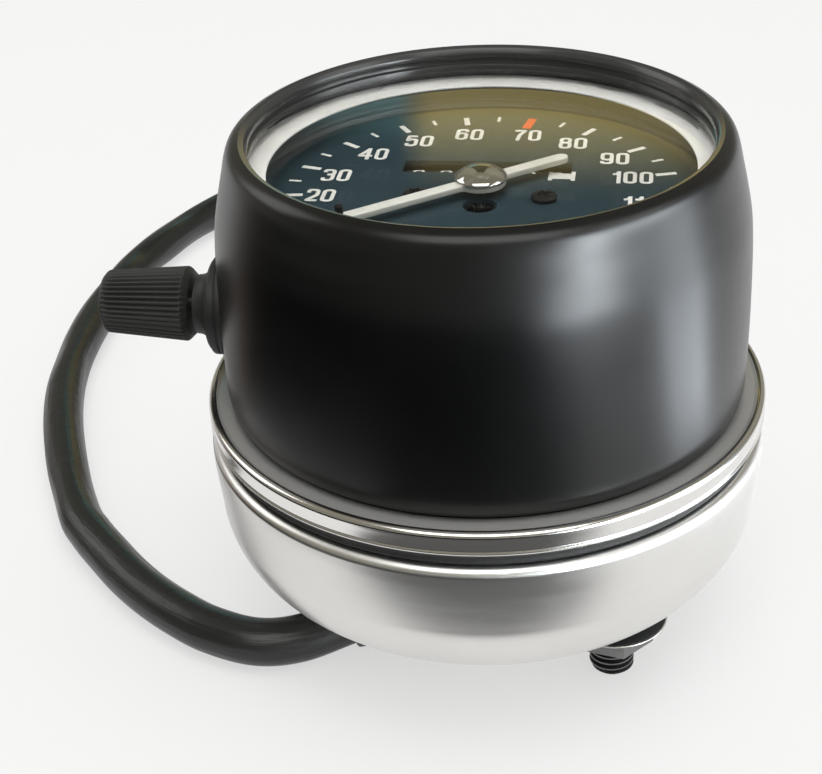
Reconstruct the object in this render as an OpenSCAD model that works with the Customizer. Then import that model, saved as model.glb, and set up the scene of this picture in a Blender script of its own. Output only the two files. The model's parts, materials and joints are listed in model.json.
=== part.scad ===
// Cable-driven motorcycle speedometer with odometer, trip counter and reset knob.
// Millimetres. Z is the dial axis with the stud ends at z = 0, +Y is the top of the dial
// and the reset knob points along -X.

/* [Case] */

// Reach of the polished trim ring beyond the shroud
ring_reach = 3.7; // [3.4:0.1:8]
// Height of the trim ring's rolled rim
ring_z = 47.2; // [46:0.1:49]
// Height of the shroud's top rim above the trim ring's rim
shroud_h = 47.7; // [46:0.1:54]
// Greatest radius of the barrel-shaped shroud
shroud_r = 46.3; // [42:0.1:50]
// Wall of the shroud
shroud_wall = 2; // [1.6:0.1:2.4]
// Height of the bowl's flat underside
cup_z = 12; // [11:0.1:13]
// Sheet thickness of the bowl
cup_wall = 1; // [0.8:0.1:1.4]
// Radius of the bowl's lower corner
cup_corner = 16; // [12:0.5:17]
// Height of the rubber band under the trim ring
band_h = 3; // [2:0.1:3.6]

/* [Window and dial] */

// Thickness of the glass
lens_t = 2; // [1.5:0.1:2.5]
// Width of the white ring under the glass
reflector_w = 2.7; // [1.5:0.1:4]
// Depth of the dial's face below the shroud's rim
dial_depth = 12.1; // [12:0.1:14]
// Thickness of the dial plate
dial_t = 0.8; // [0.6:0.1:1.4]
// Distance of the odometer window's middle above the dial's centre
odo_y = 10.45; // [10.2:0.05:11]
// Height of the number windows
window_h = 5.1; // [4:0.1:5.6]
// Distance of the two dial screws from the centre line
screw_x = 10.4; // [9.6:0.1:11]
// Radius of the dial screws' heads
screw_r = 2.2; // [1.8:0.1:2.5]

/* [Pointer] */

// Length of the needle from its axis to its tip
needle_len = 33; // [28:0.5:35]
// Length of the needle's tail
tail_len = 17.6; // [12:0.2:20]
// Width of the needle
needle_w = 2.4; // [1.8:0.1:3]
// Resting angle of the needle, counted anticlockwise from +X
needle_rest = 217.8; // [210:0.1:225]
// Radius of the domed hub cap
hub_r = 4.6; // [4:0.1:5.2]
// Radius of the pointer's spindle
spindle_r = 0.8; // [0.6:0.05:1]
// Turns of the hairspring
spring_turns = 4; // [3:1:5]

/* [Drive] */

// Radius of the input shaft
shaft_r = 2; // [1.8:0.1:2.2]
// Radius of the round magnet
magnet_r = 11; // [9:0.5:11.5]
// Teeth of the worm wheels in the odometer drive
wheel_teeth = 20; // [16:1:24]
// Tip radius of the first worm wheel
cross_tip = 6.2; // [5.8:0.1:6.6]
// Tip radius of the second worm wheel
riser_tip = 6.6; // [6:0.1:7]
// Tip radius of the worm wheel on the odometer
odo_tip = 6.8; // [6.4:0.1:7]

/* [Counters] */

// Radius of a number drum
drum_r = 7; // [6.6:0.1:7.2]
// Distance from one drum to the next
drum_pitch = 4.9; // [4.7:0.1:5]
// Gap between the drums and the underside of the dial
drum_gap = 0.6; // [0.4:0.1:1.2]
// Number of drums in the trip counter
trip_count = 4; // [3:1:4]
// Teeth of the reset shaft's gear
pinion_teeth = 30; // [24:1:31]
// Teeth of the trip counter's gear
trip_teeth = 12; // [11:1:12]

/* [Reset knob] */

// Distance of the knob's axis below the shroud's top rim
knob_drop = 35.4; // [31:0.1:36]
// Radius of the knob's inner end
knob_r0 = 6.85; // [6.5:0.05:8]
// Radius of the knob's outer end
knob_r1 = 5.75; // [5:0.05:6.4]
// Length of the knob
knob_len = 16.7; // [13:0.1:18]
// Ribs round the knob
knob_ribs = 40; // [24:2:44]
// Radius of the boot's flange on the shroud
boot_r = 9.25; // [8.5:0.05:10]

/* [Mounting] */

// Radius of the mounting studs
stud_r = 4; // [3.8:0.1:4.2]
// Distance of the studs' middles inside the edge of the bowl's flat floor
stud_inset = 0; // [0:0.1:2]
// Angle of the first stud from +X
stud_angle = -43; // [-48:1:-42]
// Radius of the rubber washers
washer_r = 10; // [8.5:0.1:10]
// Thickness of the rubber washers
washer_t = 1; // [0.8:0.1:2.4]
// Width across the nuts' flats
nut_af = 13; // [12.6:0.1:14]
// Height of the thin nuts
nut_h = 5; // [3:0.1:5]
// Radius of the drive cable's nipple
nipple_r = 6; // [5.6:0.1:6.2]

/* [Wiring] */

// Radius of the harness sleeve
cord_r = 4.5; // [4:0.1:4.8]
// Radius of the moulded elbow under the bowl
elbow_r = 5.6; // [5.4:0.1:5.8]
// Length of the connector at the harness's end
connector_len = 26; // [20:1:34]

/* [Hidden] */

$fn = 64;

// Clearances: a held fit, a running fit and the play beside a turning piece
held = 0.05;
running = 0.05;
play = 0.3;

// Heights of the case
rim_z = ring_z + shroud_h;
lip_z = ring_z - 3;
skirt_z = ring_z - 4.2;
band_z = skirt_z - band_h - 2 * held;
seal_z = lip_z - 2.8;
foot_z = seal_z - 1.4;
can_flange_z = foot_z - 1.2;
glass_z = rim_z - 4.3;
lens_z = glass_z - lens_t;
reflector_z = lens_z - 2;
dial_z = rim_z - dial_depth;
dial_under = dial_z - dial_t;
can_z = cup_z + 10;
can_wall = 0.8;
floor_z = can_z + 1;
knob_z = rim_z - knob_drop;
bridge_z = knob_z - 4.9;
bridge_t = 2;
deck_z = bridge_z + bridge_t;

// Radii of the case
ring_r = shroud_r + ring_reach;
foot_r = shroud_r - 2.85;
can_r = foot_r - shroud_wall - 0.45;
neck_in = ring_r - 3.6;
neck_out = neck_in + cup_wall;
ring_in = foot_r + 0.85;
corner_r = ring_r - 0.6 - cup_corner;
rim_in = can_r - 2.2;
reflector_r = rim_in - reflector_w;
stud_circle = corner_r - stud_inset;
stud_core = stud_r - 0.6;
bridge_r = can_r - 5;

// Drive train
nipple_top = floor_z + 1.8;
nipple_z = cup_z - 9;
worm_r = shaft_r + 0.6;
cross_x = worm_r + play + cross_tip;
cross_z = floor_z + cross_tip + 1.7;
flux_z = cross_z + cross_tip + 0.5;
magnet_z = flux_z + 1.6;
magnet_h = 4.5;
drag_in = magnet_r + 1.3;
drag_t = 0.8;
drag_top = magnet_z + magnet_h + 3.1;
flux_in = drag_in + drag_t + 1.6;
flux_r = flux_in + 1.3;
lay_r = 1.2;
riser_x = cross_x + worm_r + play + riser_tip;
riser_y = odo_y + odo_tip + play + worm_r;
pillar_r = 2.6;
pillar_circle = bridge_r - 3;
pillar_angles = [100, 220, 340];
bracket_t = 1.2;
cross_y = [-nipple_r, riser_y + 5.2];

// Lamps that light the dial
lamp_r = 3.4;
lamp_h = 16;
holder_r = lamp_r + 1.1;
lamp_circle = can_r - 9;
lamp_angles = [128.7, -48.8];

// Counters
drum_z = dial_under - drum_gap - drum_r;
drum_w = drum_pitch - 0.2;
drum_count = 6;
axle_r = 1.5;
odo_left = -drum_count / 2 * drum_pitch - 0.3;
odo_wheel_x = riser_x - 1.75;
odo_right = riser_x + 2;
gear_m = 1;
gear_distance = (pinion_teeth + trip_teeth) * gear_m / 2;
trip_y = -sqrt(pow(gear_distance, 2) - pow(drum_z - knob_z, 2));
trip_half = trip_count / 2 * drum_pitch + 0.3;
gear_x = 10 - bridge_r;
gear_w = 3;
mesh_angle = atan2(drum_z - knob_z, trip_y);

// Pointer
needle_z = dial_z + 1.5;
needle_t = 1;
stop_r = 0.7;
stop_circle = needle_len - 5;
stop_angle = needle_rest + asin((needle_w / 2 + stop_r + 0.1) / stop_circle);
spring_z = deck_z + 3.5;
spring_in = 2.55;
spring_out = 7.5;
spring_w = 0.25;
spring_h = 1.2;
spring_gap = (spring_out - spring_in) / spring_turns - spring_w;
echo(str("hairspring least gap mm ", spring_gap));

// Reset knob
boot_x = -shroud_r - 2.4;
neck_len = 3.2;
neck_r = 5.4;
boot_edge = 0.9;
knob_x = boot_x - neck_len - 0.8;
reset_r = 2.5;
bush_r = 5;
bush_in = -bridge_r - 2;

// Wiring
elbow_at = [-13, -17];
elbow_z = cup_z - 6;
exit_angle = 205;
elbow_len = 11;
lying_z = cord_r + 0.2;
boot_wall = 1;
boot_z = cord_r + boot_wall + 0.3;
route = [
    [-32, -26.4], [-40, -28.2], [-49, -25.7], [-56, -21.8], [-63, -16.8], [-69.5, -11],
    [-75.6, -4.5], [-81, 1.6], [-86, 8.5], [-93.6, 24], [-101, 42.5], [-105.8, 59],
    [-108.4, 76], [-109.2, 95], [-107.6, 117], [-102.4, 138.5], [-92.5, 160.5], [-78, 181],
    [-60, 197], [-40, 207]
];
route_end = [-19, 211];
exit_dir = [cos(exit_angle), sin(exit_angle), 0];
exit_at = [elbow_at[0], elbow_at[1], elbow_z];
cord_points = concat(
    [exit_at + 5 * exit_dir, exit_at + 11 * exit_dir],
    [for (p = route) [p[0], p[1], lying_z]],
    [[route_end[0], route_end[1], boot_z]]
);
cord_sides = 10;
cord_steps = 3;

// Points of an arc from angle a0 to a1
function arc(cx, cy, r, a0, a1, n) =
    [for (i = [0:n]) let (a = a0 + (a1 - a0) * i / n) [cx + r * cos(a), cy + r * sin(a)]];

// One point of a smooth curve through b and c
function curve_point(a, b, c, d, t) =
    0.5 * (2 * b + (c - a) * t + (2 * a - 5 * b + 4 * c - d) * t * t
    + (3 * b - a - 3 * c + d) * t * t * t);

// A smooth curve through all the points given
function smooth(p, steps) = let (n = len(p) - 1) concat(
    [for (i = [0:n - 1], k = [0:steps - 1])
        curve_point(p[max(i - 1, 0)], p[i], p[i + 1], p[min(i + 2, n)], k / steps)],
    [p[n]]
);

// Radius of the shroud's outside at its hand-measured heights, as offsets from its greatest radius
shroud_side = smooth([
    [foot_r, seal_z], [foot_r + 0.05, lip_z + 1.2], [foot_r + 0.35, lip_z + 2.1],
    [shroud_r - 1.7, lip_z + 2.75], [shroud_r - 0.8, lip_z + 3.3], [shroud_r - 0.2, lip_z + 4.7],
    [shroud_r, lip_z + 8],
    [shroud_r, lip_z + 17], [shroud_r - 0.15, rim_z - 26.5], [shroud_r - 0.4, rim_z - 20],
    [shroud_r - 0.85, rim_z - 14.6], [shroud_r - 1.75, rim_z - 10],
    [shroud_r - 2.6, rim_z - 6.4], [shroud_r - 3.6, rim_z - 2.4],
    [shroud_r - 4.6, rim_z - 0.8], [shroud_r - 6.1, rim_z]
], 4);

// A cylinder along X from x0 to x1
module rod_x(x0, x1, r, y, z) {
    translate([x0, y, z])
        rotate([0, 90, 0])
            cylinder(h = x1 - x0, r = r);
}

// A cylinder along Y from y0 to y1
module rod_y(y0, y1, r, x, z) {
    translate([x, y0, z])
        rotate([-90, 0, 0])
            cylinder(h = y1 - y0, r = r);
}

// A cylinder along Z from z0 to z1
module rod_z(z0, z1, r, x = 0, y = 0) {
    translate([x, y, z0])
        cylinder(h = z1 - z0, r = r);
}

// Children repeated at the studs
module at_studs() {
    for (k = [0:2])
        rotate([0, 0, stud_angle + 120 * k])
            translate([stud_circle, 0, 0])
                children();
}

// Children repeated at the pillars
module at_pillars() {
    for (a = pillar_angles)
        rotate([0, 0, a])
            translate([pillar_circle, 0, 0])
                children();
}

// Flat outline of a straight-sided gear whose first tooth points along +X
module gear_outline(teeth, tip, root, share) {
    step = 360 / teeth;
    polygon([for (i = [0:teeth - 1], k = [0:3])
        let (
            wide = (k == 0 || k == 3) ? share * 0.62 : share * 0.3,
            side = k < 2 ? -1 : 1,
            a = i * step + side * wide * step,
            r = (k == 0 || k == 3) ? root : tip
        ) [r * cos(a), r * sin(a)]]);
}

// A gear of the reset train standing across X
module reset_gear(teeth, turn, bore, y, z) {
    translate([gear_x, y, z])
        rotate([90, 0, 90])
            linear_extrude(height = gear_w)
                difference() {
                    rotate(turn)
                        gear_outline(teeth, (teeth / 2 + 0.8) * gear_m,
                            (teeth / 2 - 1.1) * gear_m, 0.4);
                    circle(r = bore);
                }
}

// A worm wheel lying flat about its own axis
module worm_wheel(tip, width, bore) {
    translate([0, 0, -width / 2])
        linear_extrude(height = width)
            difference() {
                gear_outline(wheel_teeth, tip, tip - 1.1, 0.5);
                circle(r = bore);
            }
}

// A plate that stands across X and holds an axle
module side_plate(x, y, hole) {
    difference() {
        union() {
            translate([x, y - 4, deck_z])
                cube([bracket_t, 8, drum_z - deck_z]);
            rod_x(x, x + bracket_t, 4, y, drum_z);
        }
        rod_x(x - 1, x + bracket_t + 1, hole, y, drum_z);
    }
}

// Bowl pressed from stainless sheet
module lower_cup() {
    shoulder = ring_r + 0.1;
    bend = 1.7;
    color([0.72, 0.72, 0.7])
        difference() {
            rotate_extrude()
                polygon(concat(
                    [[0, cup_z]],
                    arc(corner_r, cup_z + cup_corner, cup_corner, -90, 0, 12),
                    [[shoulder, band_z - bend - 2.5]],
                    arc(shoulder - bend, band_z - bend - 0.2, bend, 0, 80, 6),
                    [[neck_out, band_z], [neck_out, lip_z], [neck_in, lip_z]],
                    [[neck_in, band_z - 0.6]],
                    arc(shoulder - bend, band_z - bend - 0.2, bend - cup_wall, 80, 0, 6),
                    [[shoulder - cup_wall, band_z - bend - 2.5]],
                    arc(corner_r, cup_z + cup_corner, cup_corner - cup_wall, 0, -90, 12),
                    [[0, cup_z + cup_wall]]
                ));
            rod_z(cup_z - 1, cup_z + 3, nipple_r + held);
            rod_z(cup_z - 1, cup_z + 3, elbow_r + held, elbow_at[0], elbow_at[1]);
            at_studs()
                rod_z(cup_z - 1, cup_z + 3, stud_core + held);
        }
}

// Polished ring that closes the bowl round the shroud
module trim_ring() {
    color([0.85, 0.85, 0.86])
        rotate_extrude()
            polygon(concat(
                [[ring_in, lip_z], [ring_in, ring_z - 0.9], [ring_in + 0.3, ring_z - 0.7]],
                [[ring_in + 2, ring_z - 0.45], [ring_r - 1.4, ring_z - 0.1]],
                arc(ring_r - 0.9, ring_z - 0.9, 0.9, 110, 0, 6),
                [[ring_r - 0.2, skirt_z], [neck_out + held, skirt_z], [neck_out + held, lip_z]]
            ));
}

// Rubber band below the trim ring
module seal_band() {
    color([0.05, 0.05, 0.05])
        rotate_extrude()
            polygon([[neck_out, band_z + held], [ring_r - 1.2, band_z + held],
                [ring_r - 0.8, skirt_z - held], [neck_out, skirt_z - held]]);
}

// Rubber ring that presses the shroud's foot down
module shroud_seal() {
    color([0.05, 0.05, 0.05])
        rotate_extrude()
            polygon([[foot_r + 0.15, seal_z], [neck_in - held, seal_z],
                [neck_in - held, lip_z], [foot_r + 0.15, lip_z]]);
}

// Barrel-shaped black shroud with a foot flange and a stepped inner rim
module shroud() {
    top = len(shroud_side) - 1;
    inside = [for (i = [top:-1:0])
        if (shroud_side[i][1] < rim_z - 9) [shroud_side[i][0] - shroud_wall, shroud_side[i][1]]];
    color([0.06, 0.06, 0.065])
        difference() {
            rotate_extrude()
                polygon(concat(
                    [[can_r + held, foot_z], [neck_in - held, foot_z], [neck_in - held, seal_z]],
                    shroud_side,
                    [[rim_in + 0.5, rim_z - 0.5], [rim_in, rim_z - 1.4]],
                    [[rim_in, rim_z - 2], [rim_in + 0.6, rim_z - 2.3]],
                    [[rim_in + 0.6, rim_z - 3.1], [rim_in, rim_z - 3.4]],
                    [[rim_in, glass_z], [can_r + held, glass_z], [can_r + held, rim_z - 7.5]],
                    inside,
                    [[can_r + held, seal_z]]
                ));
            rod_x(-shroud_r - 4, 0, bush_r + held, 0, knob_z);
        }
}

// Can that holds the movement, the dial and the glass
module inner_can() {
    flange_r = neck_in - 0.2;
    color([0.1, 0.1, 0.1])
        difference() {
            rotate_extrude()
                polygon([[0, can_z], [can_r, can_z], [can_r, can_flange_z],
                    [flange_r, can_flange_z], [flange_r, foot_z], [can_r, foot_z],
                    [can_r, reflector_z], [can_r - can_wall, reflector_z],
                    [can_r - can_wall, floor_z], [0, floor_z]]);
            rod_z(can_z - 1, floor_z + 1, nipple_r + held);
            rod_z(can_z - 1, floor_z + 1, lay_r + running, riser_x, riser_y);
            rod_x(-shroud_r - 4, 0, bush_r + held, 0, knob_z);
            for (p = lamp_places())
                rod_z(can_z - 1, floor_z + 1, holder_r + held, p[0], p[1]);
        }
}

// Flat glass
module lens() {
    color([0.8, 0.86, 0.84, 0.3])
        rod_z(lens_z, glass_z, can_r);
}

// White ring under the edge of the glass
module reflector_ring() {
    color([0.9, 0.9, 0.88])
        rotate_extrude()
            polygon([[reflector_r, reflector_z], [can_r, reflector_z], [can_r, lens_z],
                [rim_in + 0.3, lens_z], [rim_in - 0.3, lens_z - 0.2],
                [reflector_r, lens_z - 0.6]]);
}

// Dial plate with its windows and holes
module dial() {
    odo_w = drum_count * drum_pitch + 0.2;
    trip_w = trip_count * drum_pitch + 0.2;
    color([0.04, 0.04, 0.045])
        difference() {
            rod_z(dial_under, dial_z, can_r - can_wall - 0.1);
            rod_z(dial_under - 1, dial_z + 1, spindle_r + 0.5);
            rod_z(dial_under - 1, dial_z + 1, 2.7, 0, -5.7);
            translate([-odo_w / 2, odo_y - window_h / 2, dial_under - 1])
                cube([odo_w, window_h, dial_t + 2]);
            translate([-trip_w / 2, trip_y - window_h / 2, dial_under - 1])
                cube([trip_w, window_h, dial_t + 2]);
            for (s = [-1, 1])
                rod_z(dial_under - 1, dial_z + 1, 1.2 + held, s * screw_x, -2.65);
            rotate([0, 0, stop_angle])
                rod_z(dial_under - 1, dial_z + 1, stop_r, stop_circle, 0);
        }
}

// Two screws that hold the dial
module dial_screws() {
    color([0.05, 0.05, 0.05])
        for (s = [-1, 1])
            translate([s * screw_x, -2.65, 0])
                difference() {
                    union() {
                        rod_z(dial_z, dial_z + 1.2, screw_r);
                        rod_z(dial_under - 6, dial_z, 1.2);
                    }
                    translate([-3, -0.25, dial_z + 0.7])
                        cube([6, 0.5, 1]);
                }
}

// Posts that carry the dial above the bridge
module dial_posts() {
    color([0.75, 0.62, 0.32])
        for (s = [-1, 1])
            translate([s * screw_x, -2.65, 0])
                difference() {
                    rod_z(deck_z, dial_under, 2.6);
                    rod_z(dial_under - 6, dial_under + 1, 1.2);
                }
}

// Pin that the needle rests against
module stop_pin() {
    color([0.05, 0.05, 0.05])
        rotate([0, 0, stop_angle])
            rod_z(dial_under, needle_z + needle_t + 1.6, stop_r, stop_circle, 0);
}

// Three studs welded through the bowl's floor, drawn at their thread's core inside the nuts
module mounting_studs() {
    color([0.06, 0.06, 0.06])
        at_studs() {
            rod_z(0, cup_z - washer_t - nut_h - 0.1, stud_r);
            rod_z(1, cup_z + cup_wall + 1.5, stud_core);
        }
}

// Rubber washers under the bowl
module rubber_washers() {
    color([0.06, 0.06, 0.06])
        at_studs()
            difference() {
                rod_z(cup_z - washer_t, cup_z, washer_r);
                rod_z(cup_z - washer_t - 1, cup_z + 1, stud_core + held);
            }
}

// Thin nuts on the studs
module mounting_nuts() {
    color([0.06, 0.06, 0.06])
        at_studs()
            translate([0, 0, cup_z - washer_t - nut_h])
                linear_extrude(height = nut_h)
                    difference() {
                        rotate([0, 0, 30])
                            circle(r = nut_af / sqrt(3), $fn = 6);
                        circle(r = stud_core + held);
                    }
}

// Nipple for the drive cable, which also bears the input shaft
module drive_nipple() {
    color([0.75, 0.62, 0.32])
        difference() {
            union() {
                rod_z(nipple_z, nipple_top, nipple_r);
                rod_z(cup_z - 1.6, cup_z, nipple_r + 2.5);
            }
            rod_z(nipple_z - 1, nipple_top + 1, shaft_r + running);
        }
}

// Sleeve that keeps the can above the bowl's floor
module nipple_spacer() {
    color([0.7, 0.7, 0.68])
        difference() {
            rod_z(cup_z + cup_wall, can_z, nipple_r + 2.5);
            rod_z(cup_z, can_z + 1, nipple_r + held);
        }
}

// Thin nut that clamps the can, the sleeve and the bowl together
module nipple_nut() {
    color([0.7, 0.7, 0.68])
        translate([0, 0, floor_z])
            linear_extrude(height = nipple_top - floor_z - 0.2)
                difference() {
                    circle(r = nipple_r + 2.1, $fn = 6);
                    circle(r = nipple_r + held);
                }
}

// Pillars between the can's floor and the bridge
module frame_pillars() {
    color([0.75, 0.62, 0.32])
        at_pillars()
            difference() {
                rod_z(floor_z, bridge_z, pillar_r);
                rod_z(bridge_z - 7, bridge_z + 1, 1.5);
            }
}

// Plate that carries the counters and the upper bearings
module bridge_plate() {
    slot = pinion_teeth / 2 * gear_m + 1.7;
    color([0.75, 0.62, 0.32])
        difference() {
            rod_z(bridge_z, deck_z, bridge_r);
            rod_z(bridge_z - 1, deck_z + 1, 3);
            rod_z(bridge_z - 1, deck_z + 1, lay_r + running, riser_x, riser_y);
            translate([gear_x - 1.2, -slot, bridge_z - 1])
                cube([gear_w + 2.4, 2 * slot, bridge_t + 2]);
            at_pillars()
                rod_z(bridge_z - 1, deck_z + 1, 1.5 + held);
        }
}

// Screws that hold the bridge to its pillars
module bridge_screws() {
    color([0.7, 0.7, 0.68])
        at_pillars() {
            rod_z(bridge_z - 6, deck_z, 1.5);
            rod_z(deck_z, deck_z + 1.8, 2.8);
        }
}

// Bush that guides the pointer's spindle
module spindle_bush() {
    color([0.8, 0.68, 0.35])
        difference() {
            union() {
                rod_z(bridge_z - 1, deck_z, 3);
                rod_z(deck_z, deck_z + 1.2, 4.2);
            }
            rod_z(bridge_z - 2, deck_z + 2, spindle_r + running);
        }
}

// Flat spiral spring that returns the pointer
module hairspring() {
    last = 24 * spring_turns;
    rise = (spring_out - spring_in) / last;
    color([0.75, 0.6, 0.35])
        translate([0, 0, spring_z])
            linear_extrude(height = spring_h)
                polygon(concat(
                    [for (i = [0:last]) let (a = 90 + 15 * i, r = spring_in + rise * i)
                        [r * cos(a), r * sin(a)]],
                    [for (i = [last:-1:0]) let (a = 90 + 15 * i, r = spring_in + rise * i + spring_w)
                        [r * cos(a), r * sin(a)]]
                ));
}

// Post that anchors the hairspring's outer end
module spring_post() {
    color([0.75, 0.62, 0.32])
        rod_z(deck_z, spring_z + spring_h + 0.4, 0.7, 0, spring_out + spring_w + 0.7);
}

// Plates on the can's floor that carry the cross shaft
module cross_brackets() {
    color([0.75, 0.62, 0.32])
        for (y = cross_y)
            difference() {
                union() {
                    translate([cross_x - 3, y, floor_z])
                        cube([6, bracket_t, cross_z - floor_z]);
                    rod_y(y, y + bracket_t, 3, cross_x, cross_z);
                }
                rod_y(y - 1, y + bracket_t + 1, lay_r + running, cross_x, cross_z);
            }
}

// Plates on the bridge that carry the odometer's axle
module odometer_brackets() {
    color([0.75, 0.62, 0.32]) {
        side_plate(odo_left - bracket_t, odo_y, axle_r);
        side_plate(odo_right, odo_y, axle_r);
    }
}

// Fixed axle that the odometer's drums turn on
module odometer_axle() {
    color([0.7, 0.7, 0.68])
        rod_x(odo_left - bracket_t, odo_right + bracket_t, axle_r, odo_y, drum_z);
}

// Plates on the bridge that carry the trip counter's shaft
module trip_brackets() {
    color([0.75, 0.62, 0.32]) {
        side_plate(-trip_half - bracket_t, trip_y, axle_r + running);
        side_plate(trip_half, trip_y, axle_r + running);
    }
}

// Where the two dial lamps stand
function lamp_places() = [for (a = lamp_angles) lamp_circle * [cos(a), sin(a)]];

// Holders pushed through the can's floor
module lamp_holders() {
    color([0.08, 0.08, 0.08])
        for (p = lamp_places())
            translate([p[0], p[1], 0])
                difference() {
                    union() {
                        rod_z(can_z - 4, can_z, holder_r + 1.3);
                        rod_z(can_z, floor_z + lamp_h - 9, holder_r);
                    }
                    rod_z(floor_z + 1, floor_z + lamp_h - 8, lamp_r);
                }
}

// Small glass lamps
module lamp_bulbs() {
    color([0.9, 0.9, 0.85, 0.5])
        for (p = lamp_places())
            translate([p[0], p[1], 0])
                union() {
                    rod_z(floor_z + 1, floor_z + lamp_h, lamp_r);
                    translate([0, 0, floor_z + lamp_h])
                        sphere(r = lamp_r);
                }
}

// Rubber boot and bearing of the reset shaft
module reset_bush() {
    flare = boot_r - boot_edge - neck_r;
    color([0.05, 0.05, 0.05])
        difference() {
            union() {
                difference() {
                    rod_x(boot_x, -shroud_r + 3, boot_r, 0, knob_z);
                    rod_z(knob_z - 2 * boot_r, knob_z + 2 * boot_r, shroud_r + held);
                }
                translate([boot_x + 0.2, 0, knob_z])
                    rotate([0, -90, 0])
                        rotate_extrude()
                            polygon(concat(
                                [[0, 0], [boot_r - boot_edge, 0]],
                                arc(neck_r + flare, flare + 0.2, flare, -90, -180, 6),
                                [[neck_r, neck_len + 0.2], [0, neck_len + 0.2]]
                            ));
                rod_x(boot_x, bush_in, bush_r, 0, knob_z);
            }
            rod_x(boot_x - 5, bush_in + 5, reset_r + running, 0, knob_z);
        }
}

// Moulded rubber elbow through the bowl's floor
module cord_grommet() {
    color([0.05, 0.05, 0.05])
        translate([elbow_at[0], elbow_at[1], 0])
            difference() {
                union() {
                    rod_z(elbow_z, cup_z + cup_wall, elbow_r);
                    rod_z(cup_z - 1.6, cup_z, elbow_r + 2.6);
                    rod_z(cup_z + cup_wall, cup_z + cup_wall + 1.6, elbow_r + 2);
                    translate([0, 0, elbow_z])
                        sphere(r = elbow_r);
                    translate([0, 0, elbow_z])
                        rotate([0, 90, exit_angle])
                            cylinder(h = elbow_len, r = elbow_r);
                }
                translate([0, 0, elbow_z])
                    rotate([0, 90, exit_angle])
                        translate([0, 0, 4.5])
                            cylinder(h = elbow_len, r = cord_r + 0.1);
            }
}

// Black sleeve of the wiring harness, swept along its route on the table
module cord_sleeve() {
    line = smooth(cord_points, cord_steps);
    n = len(line) - 1;
    rings = [for (i = [0:n])
        let (
            t = line[min(i + 1, n)] - line[max(i - 1, 0)],
            f = t / norm(t),
            s = cross(f, [0, 0, 1]) / norm(cross(f, [0, 0, 1])),
            u = cross(s, f)
        )
        for (k = [0:cord_sides - 1])
            let (a = 360 * k / cord_sides)
            line[i] + cord_r * (cos(a) * s + sin(a) * u)];
    sides = [for (i = [0:n - 1], k = [0:cord_sides - 1])
        let (m = (k + 1) % cord_sides, b = i * cord_sides)
        [b + k, b + m, b + m + cord_sides, b + k + cord_sides]];
    first = [for (k = [cord_sides - 1:-1:0]) k];
    last = [for (k = [0:cord_sides - 1]) n * cord_sides + k];
    color([0.05, 0.05, 0.05])
        polyhedron(points = rings, faces = concat(sides, [first], [last]), convexity = 10);
}

// Connector block at the harness's far end
module cord_connector() {
    end = cord_points[len(cord_points) - 1];
    way = end - cord_points[len(cord_points) - 2];
    color([0.1, 0.1, 0.1])
        translate([end[0], end[1], 0])
            rotate([0, 0, atan2(way[1], way[0])])
                difference() {
                    union() {
                        translate([-7, 0, boot_z])
                            rotate([0, 90, 0])
                                cylinder(h = 9, r = cord_r + boot_wall);
                        translate([1, -9, 0.1])
                            cube([connector_len, 18, 12]);
                    }
                    translate([-8, 0, boot_z])
                        rotate([0, 90, 0])
                            cylinder(h = 8.1, r = cord_r + 0.25);
                    for (i = [0:3], k = [0:1])
                        translate([connector_len - 6, -7.4 + 4 * i, 1.8 + 5 * k])
                            cube([10, 2.8, 3.6]);
                }
}

// White pointer with its counterweight
module needle() {
    color([0.92, 0.92, 0.9])
        translate([0, 0, needle_z])
            rotate([0, 0, needle_rest])
                linear_extrude(height = needle_t)
                    difference() {
                        union() {
                            polygon(concat(
                                arc(needle_w / 2 - tail_len, 0, needle_w / 2, 90, 270, 8),
                                [[needle_len - 3, -needle_w / 2], [needle_len, -0.4],
                                    [needle_len, 0.4], [needle_len - 3, needle_w / 2]]
                            ));
                            circle(r = hub_r + 0.4);
                        }
                        circle(r = spindle_r);
                    }
}

// Domed chrome cap over the needle's hub
module hub_cap() {
    dome = 1.9;
    ball = (hub_r * hub_r + dome * dome) / (2 * dome);
    low = needle_z + needle_t;
    color([0.85, 0.85, 0.87])
        intersection() {
            translate([0, 0, low + 0.4 + dome - ball])
                sphere(r = ball);
            rod_z(low, low + 3, hub_r);
        }
}

// Thin shaft of the pointer
module spindle() {
    color([0.75, 0.75, 0.75])
        rod_z(magnet_z + magnet_h + 1.5, needle_z + needle_t, spindle_r);
}

// Aluminium cup that the turning magnet drags
module drag_cup() {
    color([0.8, 0.8, 0.82])
        difference() {
            rod_z(magnet_z + 1.2, drag_top + drag_t, drag_in + drag_t);
            rod_z(magnet_z, drag_top, drag_in);
            rod_z(magnet_z, drag_top + 2, spindle_r);
        }
}

// Collet that holds the hairspring's inner end
module spring_collet() {
    color([0.75, 0.62, 0.32])
        difference() {
            rod_z(spring_z - 0.6, spring_z + spring_h + 0.6, spring_in - running);
            rod_z(spring_z - 1, spring_z + spring_h + 1, spindle_r);
        }
}

// Input shaft with its thrust collar, worm and square cable socket
module input_shaft() {
    color([0.7, 0.7, 0.68])
        difference() {
            union() {
                rod_z(nipple_z + 1.2, magnet_z + magnet_h, shaft_r);
                rod_z(nipple_top + 0.1, nipple_top + 1.4, shaft_r + 1.4);
                rod_z(cross_z - 4.2, cross_z + 4.2, worm_r);
            }
            translate([-shaft_r * 0.625, -shaft_r * 0.625, nipple_z + 1])
                cube([shaft_r * 1.25, shaft_r * 1.25, 9]);
        }
}

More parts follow.
